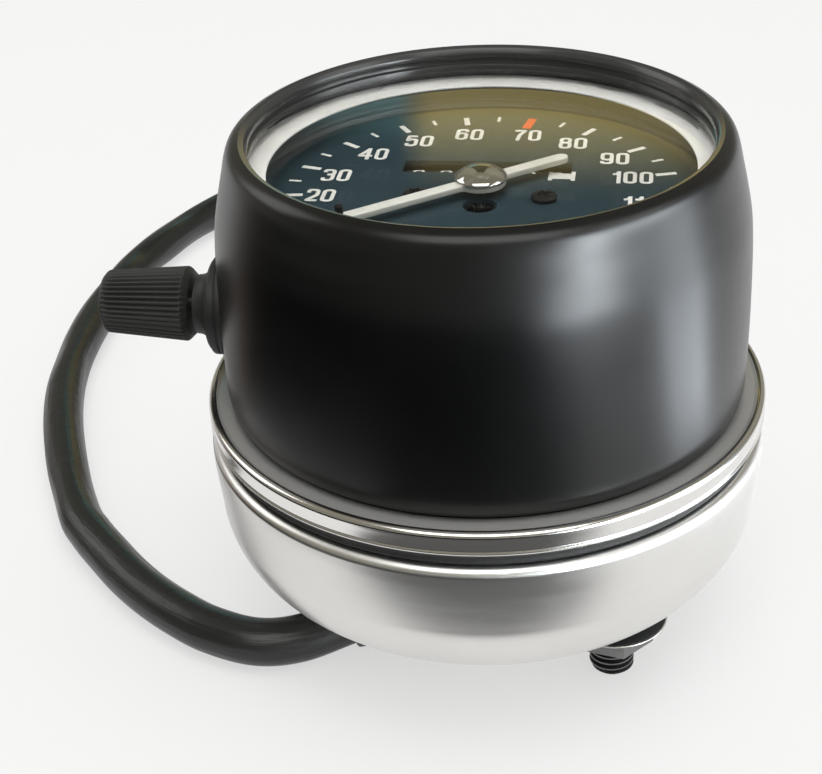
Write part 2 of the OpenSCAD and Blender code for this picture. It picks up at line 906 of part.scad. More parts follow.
// Magnet on the input shaft
module magnet() {
    color([0.25, 0.25, 0.27])
        difference() {
            rod_z(magnet_z, magnet_z + magnet_h, magnet_r);
            rod_z(magnet_z - 1, magnet_z + magnet_h + 1, shaft_r);
        }
}

// Steel ring that turns with the magnet outside the drag cup
module flux_ring() {
    color([0.6, 0.6, 0.6])
        difference() {
            rod_z(flux_z, magnet_z + magnet_h + 1.5, flux_r);
            rod_z(magnet_z, magnet_z + magnet_h + 3, flux_in);
            rod_z(flux_z - 1, magnet_z + 1, shaft_r);
        }
}

// Cross shaft with its worm
module cross_shaft() {
    color([0.7, 0.7, 0.68]) {
        rod_y(cross_y[0], cross_y[1] + bracket_t, lay_r, cross_x, cross_z);
        rod_y(riser_y - 4, riser_y + 4, worm_r, cross_x, cross_z);
    }
}

// Worm wheel on the cross shaft
module cross_wheel() {
    color([0.8, 0.68, 0.35])
        translate([cross_x, 0, cross_z])
            rotate([90, 9, 0])
                worm_wheel(cross_tip, 4, lay_r);
}

// Upright shaft that carries the drive to the counters
module riser_shaft() {
    color([0.7, 0.7, 0.68]) {
        rod_z(can_z, drum_z + 5, lay_r, riser_x, riser_y);
        rod_z(drum_z - 5, drum_z + 5, worm_r, riser_x, riser_y);
    }
}

// Worm wheel on the upright shaft
module riser_wheel() {
    color([0.8, 0.68, 0.35])
        translate([riser_x, riser_y, cross_z])
            rotate([0, 0, 9])
                worm_wheel(riser_tip, 4, lay_r);
}

// Worm wheel that turns the tenths drum
module odometer_wheel() {
    color([0.85, 0.85, 0.8])
        translate([riser_x, odo_y, drum_z])
            rotate([90, 9, 90])
                worm_wheel(odo_tip, 3.5, axle_r + 1.3);
}

// One number drum of the odometer, counted from the right
module number_drum(place) {
    middle = (drum_count / 2 - 0.5 - place) * drum_pitch;
    difference() {
        rod_x(middle - drum_w / 2, middle + drum_w / 2, drum_r, odo_y, drum_z);
        rod_x(middle - drum_w, middle + drum_w, axle_r + running, odo_y, drum_z);
    }
}

// Tenths drum with the sleeve that carries its worm wheel
module drum_tenths() {
    start = (drum_count / 2 - 0.5) * drum_pitch;
    color([0.07, 0.07, 0.07])
        union() {
            number_drum(0);
            difference() {
                rod_x(start, odo_wheel_x + 3.5, axle_r + 1.3, odo_y, drum_z);
                rod_x(start - drum_w, odo_right + 1, axle_r + running, odo_y, drum_z);
            }
        }
}

// Units drum
module drum_units() {
    color([0.07, 0.07, 0.07])
        number_drum(1);
}

// Tens drum
module drum_tens() {
    color([0.07, 0.07, 0.07])
        number_drum(2);
}

// Hundreds drum
module drum_hundreds() {
    color([0.07, 0.07, 0.07])
        number_drum(3);
}

// Thousands drum
module drum_thousands() {
    color([0.07, 0.07, 0.07])
        number_drum(4);
}

// Ten-thousands drum
module drum_ten_thousands() {
    color([0.07, 0.07, 0.07])
        number_drum(5);
}

// Shaft of the trip counter
module trip_shaft() {
    color([0.7, 0.7, 0.68])
        rod_x(gear_x - 1, trip_half + bracket_t + 0.4, axle_r, trip_y, drum_z);
}

// Number drums of the trip counter
module trip_drums() {
    color([0.07, 0.07, 0.07])
        for (i = [0:trip_count - 1])
            let (x = (i - trip_count / 2 + 0.5) * drum_pitch)
            difference() {
                rod_x(x - drum_w / 2, x + drum_w / 2, drum_r, trip_y, drum_z);
                rod_x(x - drum_w, x + drum_w, axle_r, trip_y, drum_z);
            }
}

// Gear on the trip counter's shaft, with a gap towards the reset gear
module trip_gear() {
    color([0.85, 0.85, 0.8])
        reset_gear(trip_teeth, mesh_angle + 180 + 180 / trip_teeth, axle_r, trip_y, drum_z);
}

// Ribbed knob that resets the trip counter
module reset_knob() {
    color([0.05, 0.05, 0.05])
        translate([knob_x, 0, knob_z])
            rotate([0, -90, 0])
                difference() {
                    union() {
                        cylinder(h = 1.2, r1 = knob_r0 - 1.2, r2 = knob_r0 - 0.3);
                        translate([0, 0, 1.2])
                            cylinder(h = knob_len - 2, r1 = knob_r0 - 0.3, r2 = knob_r1 - 0.3);
                        translate([0, 0, knob_len - 0.8])
                            cylinder(h = 0.8, r1 = knob_r1 - 0.3, r2 = knob_r1 - 1);
                        for (k = [0:knob_ribs - 1])
                            rotate([0, 0, 360 * k / knob_ribs])
                                knob_rib();
                    }
                    translate([0, 0, -1])
                        cylinder(h = 11, r = reset_r);
                }
}

// One rib along the knob's side
module knob_rib() {
    lean = (knob_r0 - knob_r1) / (knob_len - 2);
    rotate([90, 0, 0])
        translate([0, 0, -0.25])
            linear_extrude(height = 0.5)
                polygon([[knob_r1 - 1.5, 1.6], [knob_r0 - 0.02, 1.6],
                    [knob_r0 - lean * (knob_len - 3.2), knob_len - 1.4],
                    [knob_r1 - 1.5, knob_len - 1.4]]);
}

// Shaft from the knob to the reset gear
module reset_shaft() {
    color([0.7, 0.7, 0.68])
        rod_x(knob_x - 10, gear_x + gear_w + 0.6, reset_r, 0, knob_z);
}

// Gear on the reset shaft, with a tooth towards the trip counter
module reset_pinion() {
    color([0.85, 0.85, 0.8])
        reset_gear(pinion_teeth, mesh_angle, reset_r, 0, knob_z);
}

lower_cup();
trim_ring();
seal_band();
shroud_seal();
shroud();
inner_can();
lens();
reflector_ring();
dial();
dial_screws();
dial_posts();
stop_pin();
mounting_studs();
rubber_washers();
mounting_nuts();
drive_nipple();
nipple_spacer();
nipple_nut();
frame_pillars();
bridge_plate();
bridge_screws();
spindle_bush();
hairspring();
spring_post();
cross_brackets();
odometer_brackets();
odometer_axle();
trip_brackets();
lamp_holders();
lamp_bulbs();
reset_bush();
cord_grommet();
cord_sleeve();
cord_connector();
needle();
hub_cap();
spindle();
drag_cup();
spring_collet();
input_shaft();
magnet();
flux_ring();
cross_shaft();
cross_wheel();
riser_shaft();
riser_wheel();
odometer_wheel();
drum_tenths();
drum_units();
drum_tens();
drum_hundreds();
drum_thousands();
drum_ten_thousands();
trip_shaft();
trip_drums();
trip_gear();
reset_knob();
reset_shaft();
reset_pinion();
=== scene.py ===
"""Dressed model of a cable-driven motorcycle speedometer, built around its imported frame."""

import json
import logging
import math
from dataclasses import dataclass, field
from enum import Enum
from typing import Callable, Iterable, Optional, Sequence, Union

import bmesh
import bpy
from mathutils import Matrix, Vector


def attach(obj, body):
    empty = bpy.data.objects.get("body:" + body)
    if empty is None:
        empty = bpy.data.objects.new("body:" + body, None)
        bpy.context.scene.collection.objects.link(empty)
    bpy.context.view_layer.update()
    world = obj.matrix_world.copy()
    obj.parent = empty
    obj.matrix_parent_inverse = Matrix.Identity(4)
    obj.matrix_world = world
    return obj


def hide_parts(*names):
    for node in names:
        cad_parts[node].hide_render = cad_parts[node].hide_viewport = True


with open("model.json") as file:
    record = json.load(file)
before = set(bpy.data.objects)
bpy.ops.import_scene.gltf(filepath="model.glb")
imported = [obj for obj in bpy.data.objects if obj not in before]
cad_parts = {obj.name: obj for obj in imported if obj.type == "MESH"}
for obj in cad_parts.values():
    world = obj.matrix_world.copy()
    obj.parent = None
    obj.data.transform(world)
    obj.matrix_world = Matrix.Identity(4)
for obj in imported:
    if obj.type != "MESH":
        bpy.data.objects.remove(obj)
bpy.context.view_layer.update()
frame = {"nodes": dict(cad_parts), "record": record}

logging.basicConfig(level=logging.INFO, format="%(message)s")
log = logging.getLogger("speedometer")

Point = tuple[float, float]
Colour = tuple[float, float, float]
Place = tuple[float, float, float]

MM = 0.001
FULL_TURN = 2 * math.pi
BLACK = (0.0, 0.0, 0.0, 1.0)

# Roughness that a satin finish keeps above, and that any finish does
SATIN = 0.285
MIRROR = 0.02

# Strength of the daylight, and the share of it that the dimmer pane gives
DAYLIGHT = 24.0
DIM_PANE = 0.19

# Sizes in millimetres that several sub-assemblies share
CLEAR = 0.05
SHROUD_R = 46.3
KNOB_Z = 59.5
BUSH_R = 5.0
BOWL_Z = 12.0
BOWL_WALL = 1.0
STUD_R = 4.0
STUD_CIRCLE = 33.4
STUD_START = -42.4
STUD_COUNT = 3
NIPPLE_R = 6.0
ELBOW_R = 5.6
CORD_EXIT = (-13.0, -17.0)


class Body(str, Enum):
    """Bodies of the frame that pieces ride on."""

    CASE = "case"
    POINTER = "pointer"
    RESET = "reset"
    TRIP = "trip"


class Carve(str, Enum):
    """Ways in which one shape changes another."""

    CUT = "DIFFERENCE"
    ADD = "UNION"


class Axis(Enum):
    """Directions that a turned shape can point along."""

    X = (1, 0, 0)
    Y = (0, 1, 0)
    Z = (0, 0, 1)


# Outlines


def rounded(corners: Sequence[tuple[float, float, float]], steps: int = 5,
            closed: bool = True) -> list[Point]:
    """Rounds the corners of an outline.

    Args:
        corners: Points as (across, up, radius of the corner).
        steps: Straight pieces in each rounded corner.
        closed: Whether the last point joins the first.

    Returns:
        The points of the rounded outline.
    """
    points: list[Point] = []
    count = len(corners)
    for index, (x, y, radius) in enumerate(corners):
        here = Vector((x, y))
        ends = not closed and index in (0, count - 1)
        if ends or radius <= 0:
            points.append((x, y))
            continue
        back = Vector(corners[index - 1][:2]) - here
        ahead = Vector(corners[(index + 1) % count][:2]) - here
        half = back.angle(ahead) / 2
        reach = min(radius / math.tan(half), 0.49 * back.length, 0.49 * ahead.length)
        start, end = here + back.normalized() * reach, here + ahead.normalized() * reach
        for k in range(steps + 1):
            t = k / steps
            p = start * (1 - t) ** 2 + here * 2 * t * (1 - t) + end * t ** 2
            points.append((p.x, p.y))
    return points


def smooth_curve(points: Sequence[Sequence[float]], steps: int) -> list[Vector]:
    """Draws a smooth curve through points.

    Args:
        points: Points that the curve passes through.
        steps: Straight pieces between two points.

    Returns:
        The points of the curve.
    """
    line = [Vector(p) for p in points]
    last = len(line) - 1
    curve: list[Vector] = []
    for i in range(last):
        a, b, c, d = line[max(i - 1, 0)], line[i], line[i + 1], line[min(i + 2, last)]
        for k in range(steps):
            t = k / steps
            curve.append(0.5 * (2 * b + (c - a) * t + (2 * a - 5 * b + 4 * c - d) * t ** 2
                                + (3 * b - a - 3 * c + d) * t ** 3))
    return curve + [line[last]]


def polar(radius: float, degrees: float) -> Point:
    """Gives the point at a radius and an angle."""
    turn = math.radians(degrees)
    return radius * math.cos(turn), radius * math.sin(turn)


def arc(cx: float, cy: float, radius: float, start: float, end: float,
        steps: int) -> list[Point]:
    """Gives the points of an arc.

    Args:
        cx: Middle of the arc, across.
        cy: Middle of the arc, up.
        radius: Radius of the arc.
        start: First angle in degrees.
        end: Last angle in degrees.
        steps: Straight pieces in the arc.

    Returns:
        The points of the arc.
    """
    points = [polar(radius, start + (end - start) * k / steps) for k in range(steps + 1)]
    return [(cx + x, cy + y) for x, y in points]


# Meshes


def add(name: str, data: bpy.types.ID) -> bpy.types.Object:
    """Adds an object with its data to the scene."""
    item = bpy.data.objects.new(name, data)
    bpy.context.scene.collection.objects.link(item)
    return item


class Shape:
    """A mesh in the making, in millimetres."""

    def __init__(self) -> None:
        """Starts an empty mesh."""
        self.bm = bmesh.new()

    @classmethod
    def lathe(cls, outline: Sequence[Point], steps: int = 144, closed: bool = True) -> "Shape":
        """Turns an outline about the upright axis.

        Args:
            outline: Points as (radius, height).
            steps: Facets round the axis.
            closed: Whether the last point joins the first.

        Returns:
            The turned shape.
        """
        shape = cls()
        bm = shape.bm
        verts = [bm.verts.new((r, 0, z)) for r, z in outline]
        pairs = list(zip(verts, verts[1:])) + ([(verts[-1], verts[0])] if closed else [])
        edges = [bm.edges.new(pair) for pair in pairs]
        bmesh.ops.spin(bm, geom=verts + edges, cent=(0, 0, 0), axis=(0, 0, 1), angle=FULL_TURN,
                       steps=steps, use_merge=True)
        return shape.tidy()

    @classmethod
    def prism(cls, outline: Sequence[Point], low: float, high: float) -> "Shape":
        """Raises a flat outline.

        Args:
            outline: Points of the outline.
            low: Height of the underside.
            high: Height of the top.

        Returns:
            The raised shape.
        """
        shape = cls()
        shape.bm.faces.new([shape.bm.verts.new((x, y, low)) for x, y in outline])
        return shape.grow(high - low).tidy()

    @classmethod
    def rod(cls, radius: float, low: float, high: float, steps: int = 48) -> "Shape":
        """Makes an upright round rod between two heights."""
        return cls.lathe([(0, low), (radius, low), (radius, high), (0, high)], steps, False)

    @classmethod
    def block(cls, low: Sequence[float], high: Sequence[float], edge: float = 0.0) -> "Shape":
        """Makes a block with rounded edges.

        Args:
            low: Lowest corner.
            high: Highest corner.
            edge: Radius of its edges.

        Returns:
            The block.
        """
        shape = cls()
        size = [b - a for a, b in zip(low, high)]
        middle = [(a + b) / 2 for a, b in zip(low, high)]
        bmesh.ops.create_cube(shape.bm, size=1)
        bmesh.ops.scale(shape.bm, vec=size, verts=shape.bm.verts)
        bmesh.ops.translate(shape.bm, vec=middle, verts=shape.bm.verts)
        if edge:
            shape.bevel(edge, 3)
        return shape

    @classmethod
    def sheet(cls, half: float, parts: int) -> "Shape":
        """Makes a level square sheet, parted both ways."""
        shape = cls()
        bmesh.ops.create_grid(shape.bm, x_segments=parts, y_segments=parts, size=half)
        return shape

    def span(self) -> Point:
        """Gives the lowest place and the size along X."""
        xs = [v.co.x for v in self.bm.verts]
        return min(xs), max(xs) - min(xs)

    @classmethod
    def ribbon(cls, line: Sequence[Point], width: float, high: float, closed: bool) -> "Shape":
        """Raises a stroke of one width from the ground.

        Args:
            line: Points of its middle line.
            width: Its width.
            high: Height of its top.
            closed: Whether the last point joins the first.

        Returns:
            The stroke.
        """
        shape, points = cls(), [Vector(p) for p in line]
        last = len(points) - 1
        sides = []
        for i, here in enumerate(points):
            ways = []
            if closed or i:
                ways.append((here - points[i - 1]).normalized())
            if closed or i < last:
                ways.append((points[(i + 1) % (last + 1)] - here).normalized())
            way = sum(ways, Vector((0, 0))).normalized()
            reach = width / 2 / max(way.dot(ways[0]), 0.6)
            aside = Vector((-way.y, way.x)) * reach
            sides.append([shape.bm.verts.new((*q, 0)) for q in (here + aside, here - aside)])
        for a, b in zip(sides, sides[1:] + (sides[:1] if closed else [])):
            shape.bm.faces.new((a[0], a[1], b[1], b[0]))
        return shape.grow(high).tidy(1e-6)

    @classmethod
    def tube(cls, path: Sequence[Vector], radius: Callable[[float, float], float],
             sides: int) -> "Shape":
        """Sweeps a round section along a path.

        Args:
            path: Points of the middle line.
            radius: Gives the radius at (length along, angle round).
            sides: Facets round the tube.

        Returns:
            The tube, with its length and angle in the attribute "sleeve".
        """
        shape = cls()
        bm = shape.bm
        layer = bm.verts.layers.float_vector.new("sleeve")
        ring = bmesh.ops.create_circle(bm, cap_ends=True, radius=1, segments=sides)["verts"]
        last, along, before = len(path) - 1, 0.0, Matrix.Identity(4)
        for i, point in enumerate(path):
            ahead = (path[min(i + 1, last)] - path[max(i - 1, 0)]).normalized()
            side = ahead.cross(Vector((0, 0, 1))).normalized()
            rise = side.cross(ahead)
            stand = Matrix((side, rise, ahead)).transposed().to_4x4()
            stand.translation = point
            if i:
                along += (point - path[i - 1]).length
                made = bmesh.ops.extrude_edge_only(bm, edges=cls.loop(ring))["geom"]
                ring = [v for v in made if isinstance(v, bmesh.types.BMVert)]
            back = before.inverted()
            for v in ring:
                local = back @ v.co
                turn = math.atan2(local.y, local.x)
                size = radius(along, turn)
                v.co = stand @ Vector((size * math.cos(turn), size * math.sin(turn), 0))
                v[layer] = (along, math.cos(turn), math.sin(turn))
            before = stand
        bmesh.ops.edgeloop_fill(bm, edges=cls.loop(ring))
        return shape.tidy()

    @staticmethod
    def loop(ring: Sequence[bmesh.types.BMVert]) -> list[bmesh.types.BMEdge]:
        """Gives the edges between the points of a ring, always in the same order."""
        own = set(ring)
        edges = [e for v in ring for e in v.link_edges if e.other_vert(v) in own]
        return list(dict.fromkeys(edges))

    @classmethod
    def thread(cls, radius: float, pitch: float, low: float, high: float,
               chamfer: float = 0.8) -> "Shape":
        """Makes a rod with a screw thread.

        Args:
            radius: Outer radius of the thread.
            pitch: Rise of one turn.
            low: Height of the chamfered end.
            high: Height of the other end.
            chamfer: Size of the chamfer.

        Returns:
            The threaded rod.
        """
        shape = cls()
        bm, steps = shape.bm, 32
        root = radius - 0.61 * pitch
        marks = [(root, 0), (root, 0.14), (radius, 0.38), (radius, 0.62), (root, 0.86), (root, 1)]
        verts = [bm.verts.new((r, 0, low + (t - 2) * pitch)) for r, t in marks]
        edges = [bm.edges.new(pair) for pair in zip(verts, verts[1:])]
        turns = math.ceil((high - low) / pitch) + 3
        bmesh.ops.spin(bm, geom=verts + edges, cent=(0, 0, 0), axis=(0, 0, 1),
                       angle=FULL_TURN * turns, steps=steps * turns,
                       dvec=(0, 0, pitch / steps))
        bmesh.ops.remove_doubles(bm, verts=bm.verts, dist=1e-4)
        shape.cut((0, 0, low), (0, 0, -1), True)
        shape.cut((0, 0, high), (0, 0, 1), True)
        shape.cut((0, 0, low + chamfer), (0, 0, 1))
        bmesh.ops.holes_fill(bm, edges=[e for e in bm.edges if e.is_boundary], sides=0)
        for v in bm.verts:
            most = radius - chamfer + max(v.co.z - low, 0)
            across = math.hypot(v.co.x, v.co.y)
            if across > most:
                v.co.x, v.co.y = v.co.x * most / across, v.co.y * most / across
        return shape.tidy()

    def grow(self, height: float) -> "Shape":
        """Pulls all the faces up into a solid.

        Args:
            height: How far they are pulled.

        Returns:
            This shape.
        """
        made = bmesh.ops.extrude_face_region(self.bm, geom=self.bm.faces[:])["geom"]
        top = [v for v in made if isinstance(v, bmesh.types.BMVert)]
        bmesh.ops.translate(self.bm, vec=(0, 0, height), verts=top)
        return self

    def cut(self, at: Sequence[float], way: Sequence[float], clear: bool = False) -> None:
        """Cuts the faces along a plane.

        Args:
            at: Point on the plane.
            way: Direction that the plane faces.
            clear: Whether what lies beyond it is taken away.
        """
        everything = self.bm.verts[:] + self.bm.edges[:] + self.bm.faces[:]
        bmesh.ops.bisect_plane(self.bm, geom=everything, dist=1e-5, plane_co=at, plane_no=way,
                               clear_outer=clear)

    def tidy(self, distance: float = 1e-4) -> "Shape":
        """Closes seams and poles and points every face outwards.

        Args:
            distance: How close two points are to be one.

        Returns:
            This shape.
        """
        bmesh.ops.remove_doubles(self.bm, verts=self.bm.verts, dist=distance)
        bmesh.ops.recalc_face_normals(self.bm, faces=self.bm.faces)
        return self

    def bevel(self, width: float, segments: int = 2, least: float = 30.0) -> "Shape":
        """Rounds the sharp edges.

        Args:
            width: Width of the rounding.
            segments: Facets across the rounding.
            least: Smallest angle in degrees of an edge that counts as sharp.

        Returns:
            This shape.
        """
        edges = [e for e in self.bm.edges
                 if e.is_manifold and math.degrees(e.calc_face_angle(0)) > least]
        bmesh.ops.bevel(self.bm, geom=edges, offset=width, offset_type="OFFSET",
                        affect="EDGES", segments=segments, profile=0.5, material=-1,
                        clamp_overlap=True)
        return self.tidy()

    def move(self, x: float, y: float, z: float) -> "Shape":
        """Moves the shape and returns it."""
        bmesh.ops.translate(self.bm, vec=(x, y, z), verts=self.bm.verts)
        return self

    def turn(self, degrees: float, axis: Axis = Axis.Z) -> "Shape":
        """Turns the shape about an axis through the origin and returns it."""
        spin = Matrix.Rotation(math.radians(degrees), 3, axis.value)
        bmesh.ops.rotate(self.bm, matrix=spin, verts=self.bm.verts)
        return self

    def along_x(self) -> "Shape":
        """Lays an upright shape down, so that up becomes -X."""
        return self.turn(-90, Axis.Y)

    def bend(self, rule: Callable[[Vector], Vector]) -> "Shape":
        """Moves every point by a rule and returns the shape."""
        for v in self.bm.verts:
            v.co = rule(v.co.copy())
        return self

    def slice(self, cuts: Iterable[float], axis: Axis) -> "Shape":
        """Adds straight cuts across the faces.

        Args:
            cuts: Places of the cuts along the axis.
            axis: Direction that the cuts are counted along.

        Returns:
            This shape.
        """
        for at in cuts:
            self.cut(Vector(axis.value) * at, axis.value)
        return self

    def join(self, *others: "Shape") -> "Shape":
        """Adds other shapes to this one without merging them, and returns it."""
        for other in others:
            mesh = bpy.data.meshes.new("joined")
            other.bm.to_mesh(mesh)
            self.bm.from_mesh(mesh)
            bpy.data.meshes.remove(mesh)
        return self

    def copies(self, count: int, radius: float, start: float) -> "Shape":
        """Repeats the shape round the upright axis.

        Args:
            count: How many copies there are.
            radius: Radius of the circle they stand on.
            start: Angle of the first one in degrees.

        Returns:
            All the copies as one shape.
        """
        whole = Shape()
        for k in range(count):
            one = Shape().join(self).move(radius, 0, 0).turn(start + 360 * k / count)
            whole.join(one)
        return whole

    def carve(self, tool: "Shape", way: Carve) -> "Shape":
        """Cuts a tool out of this shape or adds it.

        Args:
            tool: Closed shape to cut with or to add.
            way: What is done with it.

        Returns:
            This shape.
        """
        made = []
        for source in (self, tool):
            mesh = bpy.data.meshes.new("carve")
            source.bm.to_mesh(mesh)
            made.append(add("carve", mesh))
        change = made[0].modifiers.new("carve", "BOOLEAN")
        change.operation, change.solver, change.object = way.value, "EXACT", made[1]
        done = bpy.data.meshes.new_from_object(
            made[0].evaluated_get(bpy.context.evaluated_depsgraph_get()))
        self.bm.clear()
        self.bm.from_mesh(done)
        for item in made:
            mesh = item.data
            bpy.data.objects.remove(item)
            bpy.data.meshes.remove(mesh)
        bpy.data.meshes.remove(done)
        return self.tidy()

    def piece(self, name: str, finish: "Finish", sharp: float = 35.0,
              second: Optional["Finish"] = None,
              where: Optional[Callable[[Vector], bool]] = None) -> bpy.types.Object:
        """Makes the finished object.

        Args:
            name: Name of the object.
            finish: Finish of the surface.
            sharp: Angle in degrees from which an edge stays sharp.
            second: Finish of the faces that where picks.
            where: Tells from a face's middle, in millimetres, whether it gets the second finish.

        Returns:
            The object, at the origin and in metres.
        """
        mesh = bpy.data.meshes.new(name)
        mesh.materials.append(finish.material())
        if second and where:
            mesh.materials.append(second.material())
            for face in self.bm.faces:
                face.material_index = int(where(face.calc_center_median()))
        bmesh.ops.scale(self.bm, vec=(MM, MM, MM), verts=self.bm.verts)
        self.bm.to_mesh(mesh)
        self.bm.free()
        mesh.shade_smooth()
        mesh.set_sharp_from_angle(angle=math.radians(sharp))
        return add(name, mesh)


def place(item: bpy.types.Object, slot: str, *nodes: str,
          body: Union[Body, str] = Body.CASE) -> bpy.types.Object:
    """Puts a finished piece on its body.

    Args:
        item: The piece.
        slot: Material slot of the piece's finish; not used.
        nodes: Nodes of the frame that it stands for.
        body: Body that it moves with.

    Returns:
        The piece.
    """
    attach(item, body.value if isinstance(body, Body) else body)
    if nodes:
        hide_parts(*nodes)
    log.info("piece %s: %d faces", item.name, len(item.data.polygons))
    return item


# Finishes


class Field:
    """A shader value that plain arithmetic works on."""

    def __init__(self, graph: "Graph", socket: bpy.types.NodeSocket) -> None:
        """Wraps an output socket of a graph."""
        self.graph, self.socket = graph, socket

    def _do(self, operation: str, first: "Amount", second: "Amount" = 0.0) -> "Field":
        """Adds one Math node."""
        return self.graph.node("ShaderNodeMath", {"operation": operation}, {0: first, 1: second})

    def __add__(self, other: "Amount") -> "Field":
        """Adds."""
        return self._do("ADD", self, other)

    __radd__ = __add__

    def __mul__(self, other: "Amount") -> "Field":
        """Multiplies."""
        return self._do("MULTIPLY", self, other)

    def __sub__(self, other: "Amount") -> "Field":
        """Subtracts."""
        return self._do("SUBTRACT", self, other)

    def __rsub__(self, other: "Amount") -> "Field":
        """Subtracts this from another amount."""
        return self._do("SUBTRACT", other, self)

    def __truediv__(self, other: "Amount") -> "Field":
        """Divides."""
        return self._do("DIVIDE", self, other)

    def __pow__(self, other: "Amount") -> "Field":
        """Raises to a power."""
        return self._do("POWER", self, other)

    def most(self, other: "Amount") -> "Field":
        """Takes the larger of two amounts."""
        return self._do("MAXIMUM", self, other)

    def ramp(self, low: float, high: float) -> "Field":
        """Rises smoothly from 0 at low to 1 at high."""
        return self.graph.node("ShaderNodeMapRange", {"interpolation_type": "SMOOTHSTEP"},
                               {0: self, 1: low, 2: high, 3: 0.0, 4: 1.0})


Amount = Union[Field, float]
Tint = Union[Field, Colour]


class Graph:
    """The node tree of a material or of the world."""

    def __init__(self, owner: Union[bpy.types.Material, bpy.types.World]) -> None:
        """Empties the owner's tree."""
        owner.use_nodes = True
        self.tree = owner.node_tree
        self.tree.nodes.clear()

    def node(self, kind: str, settings: Optional[dict] = None,
             sockets: Optional[dict] = None, out: Union[int, str] = 0) -> Field:
        """Adds a node.

        Args:
            kind: Type of the node.
            settings: Its own settings.
            sockets: Values or links of its inputs, by name or number.
            out: Output that is returned.

        Returns:
            The output as a field.
        """
        made = self.tree.nodes.new(kind)
        for key, value in (settings or {}).items():
            setattr(made, key, value)
        for key, value in (sockets or {}).items():
            if isinstance(value, Field):
                self.tree.links.new(value.socket, made.inputs[key])
            else:
                made.inputs[key].default_value = value
        return Field(self, made.outputs[out]) if made.outputs else Field(self, None)

    def place(self) -> Field:
        """Gives the place on the piece in metres."""
        return self.node("ShaderNodeTexCoord", out="Object")

    def parts(self, vector: Field) -> tuple[Field, Field, Field]:
        """Splits a vector into its three numbers."""
        split = self.node("ShaderNodeSeparateXYZ", sockets={0: vector})
        return tuple(Field(self, out) for out in split.socket.node.outputs)

    def vector(self, x: Amount, y: Amount, z: Amount) -> Field:
        """Joins three numbers into a vector."""
        return self.node("ShaderNodeCombineXYZ", sockets={0: x, 1: y, 2: z})

    def noise(self, vector: Field, scale: float, detail: float = 2.0, rough: float = 0.5) -> Field:
        """Adds a cloudy pattern from 0 to 1."""
        return self.node("ShaderNodeTexNoise", sockets={
            "Vector": vector, "Scale": scale, "Detail": detail, "Roughness": rough})

    def mix(self, share: Amount, first: Tint, second: Tint) -> Field:
        """Mixes two colours."""
        both = [c if isinstance(c, Field) else (*c, 1) for c in (first, second)]
        return self.node("ShaderNodeMix", {"data_type": "RGBA"},
                         {0: share, 6: both[0], 7: both[1]}, out=2)

    def blend(self, share: Amount, first: Field, second: Field) -> Field:
        """Blends two shaders."""
        return self.node("ShaderNodeMixShader", sockets={0: share, 1: first, 2: second})

    def glow(self, colour: Tint, strength: float = 1.0) -> Field:
        """Makes a shader that only shines."""
        shown = colour if isinstance(colour, Field) else (*colour, 1)
        return self.node("ShaderNodeEmission", sockets={"Color": shown, "Strength": strength})

    def clear(self, colour: Colour = (1.0, 1.0, 1.0)) -> Field:
        """Makes a shader that lets light through."""
        return self.node("ShaderNodeBsdfTransparent", sockets={0: (*colour, 1)})

    def bump(self, height: Field, strength: float, depth: float) -> Field:
        """Turns a height into a normal.

        Args:
            height: Height from 0 to 1.
            strength: Share of the effect.
            depth: Full height in metres.

        Returns:
            The changed normal.
        """
        return self.node("ShaderNodeBump", sockets={
            "Strength": strength, "Distance": depth, "Height": height})

    def surface(self, shader: Field) -> None:
        """Links the last shader to the output."""
        kind = "World" if isinstance(self.tree.id_data, bpy.types.World) else "Material"
        self.node("ShaderNodeOutput" + kind, sockets={"Surface": shader})


@dataclass(frozen=True)
class Finish:
    """A surface finish, which each kind details in its own way."""

    name: str
    colour: Colour
    rough: float
    metal: float = 0.0
    spread: float = 0.0
    shine: float = 0.5

    def material(self) -> bpy.types.Material:
        """Gives the finish's material, made at its first use."""
        known = bpy.data.materials.get(self.name)
        if known and known.get("own"):
            return known
        made = bpy.data.materials.new(self.name)
        made["own"] = True
        made.diffuse_color = (*self.colour, 1)
        graph = Graph(made)
        graph.surface(self.shader(graph))
        return made

    def shader(self, graph: Graph) -> Field:
        """Makes the shader from the kind's own sockets."""
        sockets = {"Base Color": (*self.colour, 1), "Roughness": self.rough,
                   "Metallic": self.metal, "Anisotropic": self.spread,
                   "Specular IOR Level": self.shine}
        sockets.update(self.detail(graph))
        return graph.node("ShaderNodeBsdfPrincipled", sockets=sockets)

    def detail(self, graph: Graph) -> dict:
        """Gives the sockets that vary over the surface."""
        return {}

    def least(self) -> float:
        """Gives the least roughness: a satin finish stays clear of a mirror's."""
        return SATIN if self.rough > SATIN else MIRROR

    def shades(self, graph: Graph, share: Amount, by: float) -> Field:
        """Varies the colour a little.

        Args:
            graph: Graph that it is added to.
            share: Pattern from 0 to 1.
            by: Change of brightness either way.

        Returns:
            The varied colour.
        """
        dark = tuple(c * (1 - by) for c in self.colour)
        pale = tuple(min(c * (1 + by) + 0.002 * by, 1) for c in self.colour)
        return graph.mix(share, dark, pale)


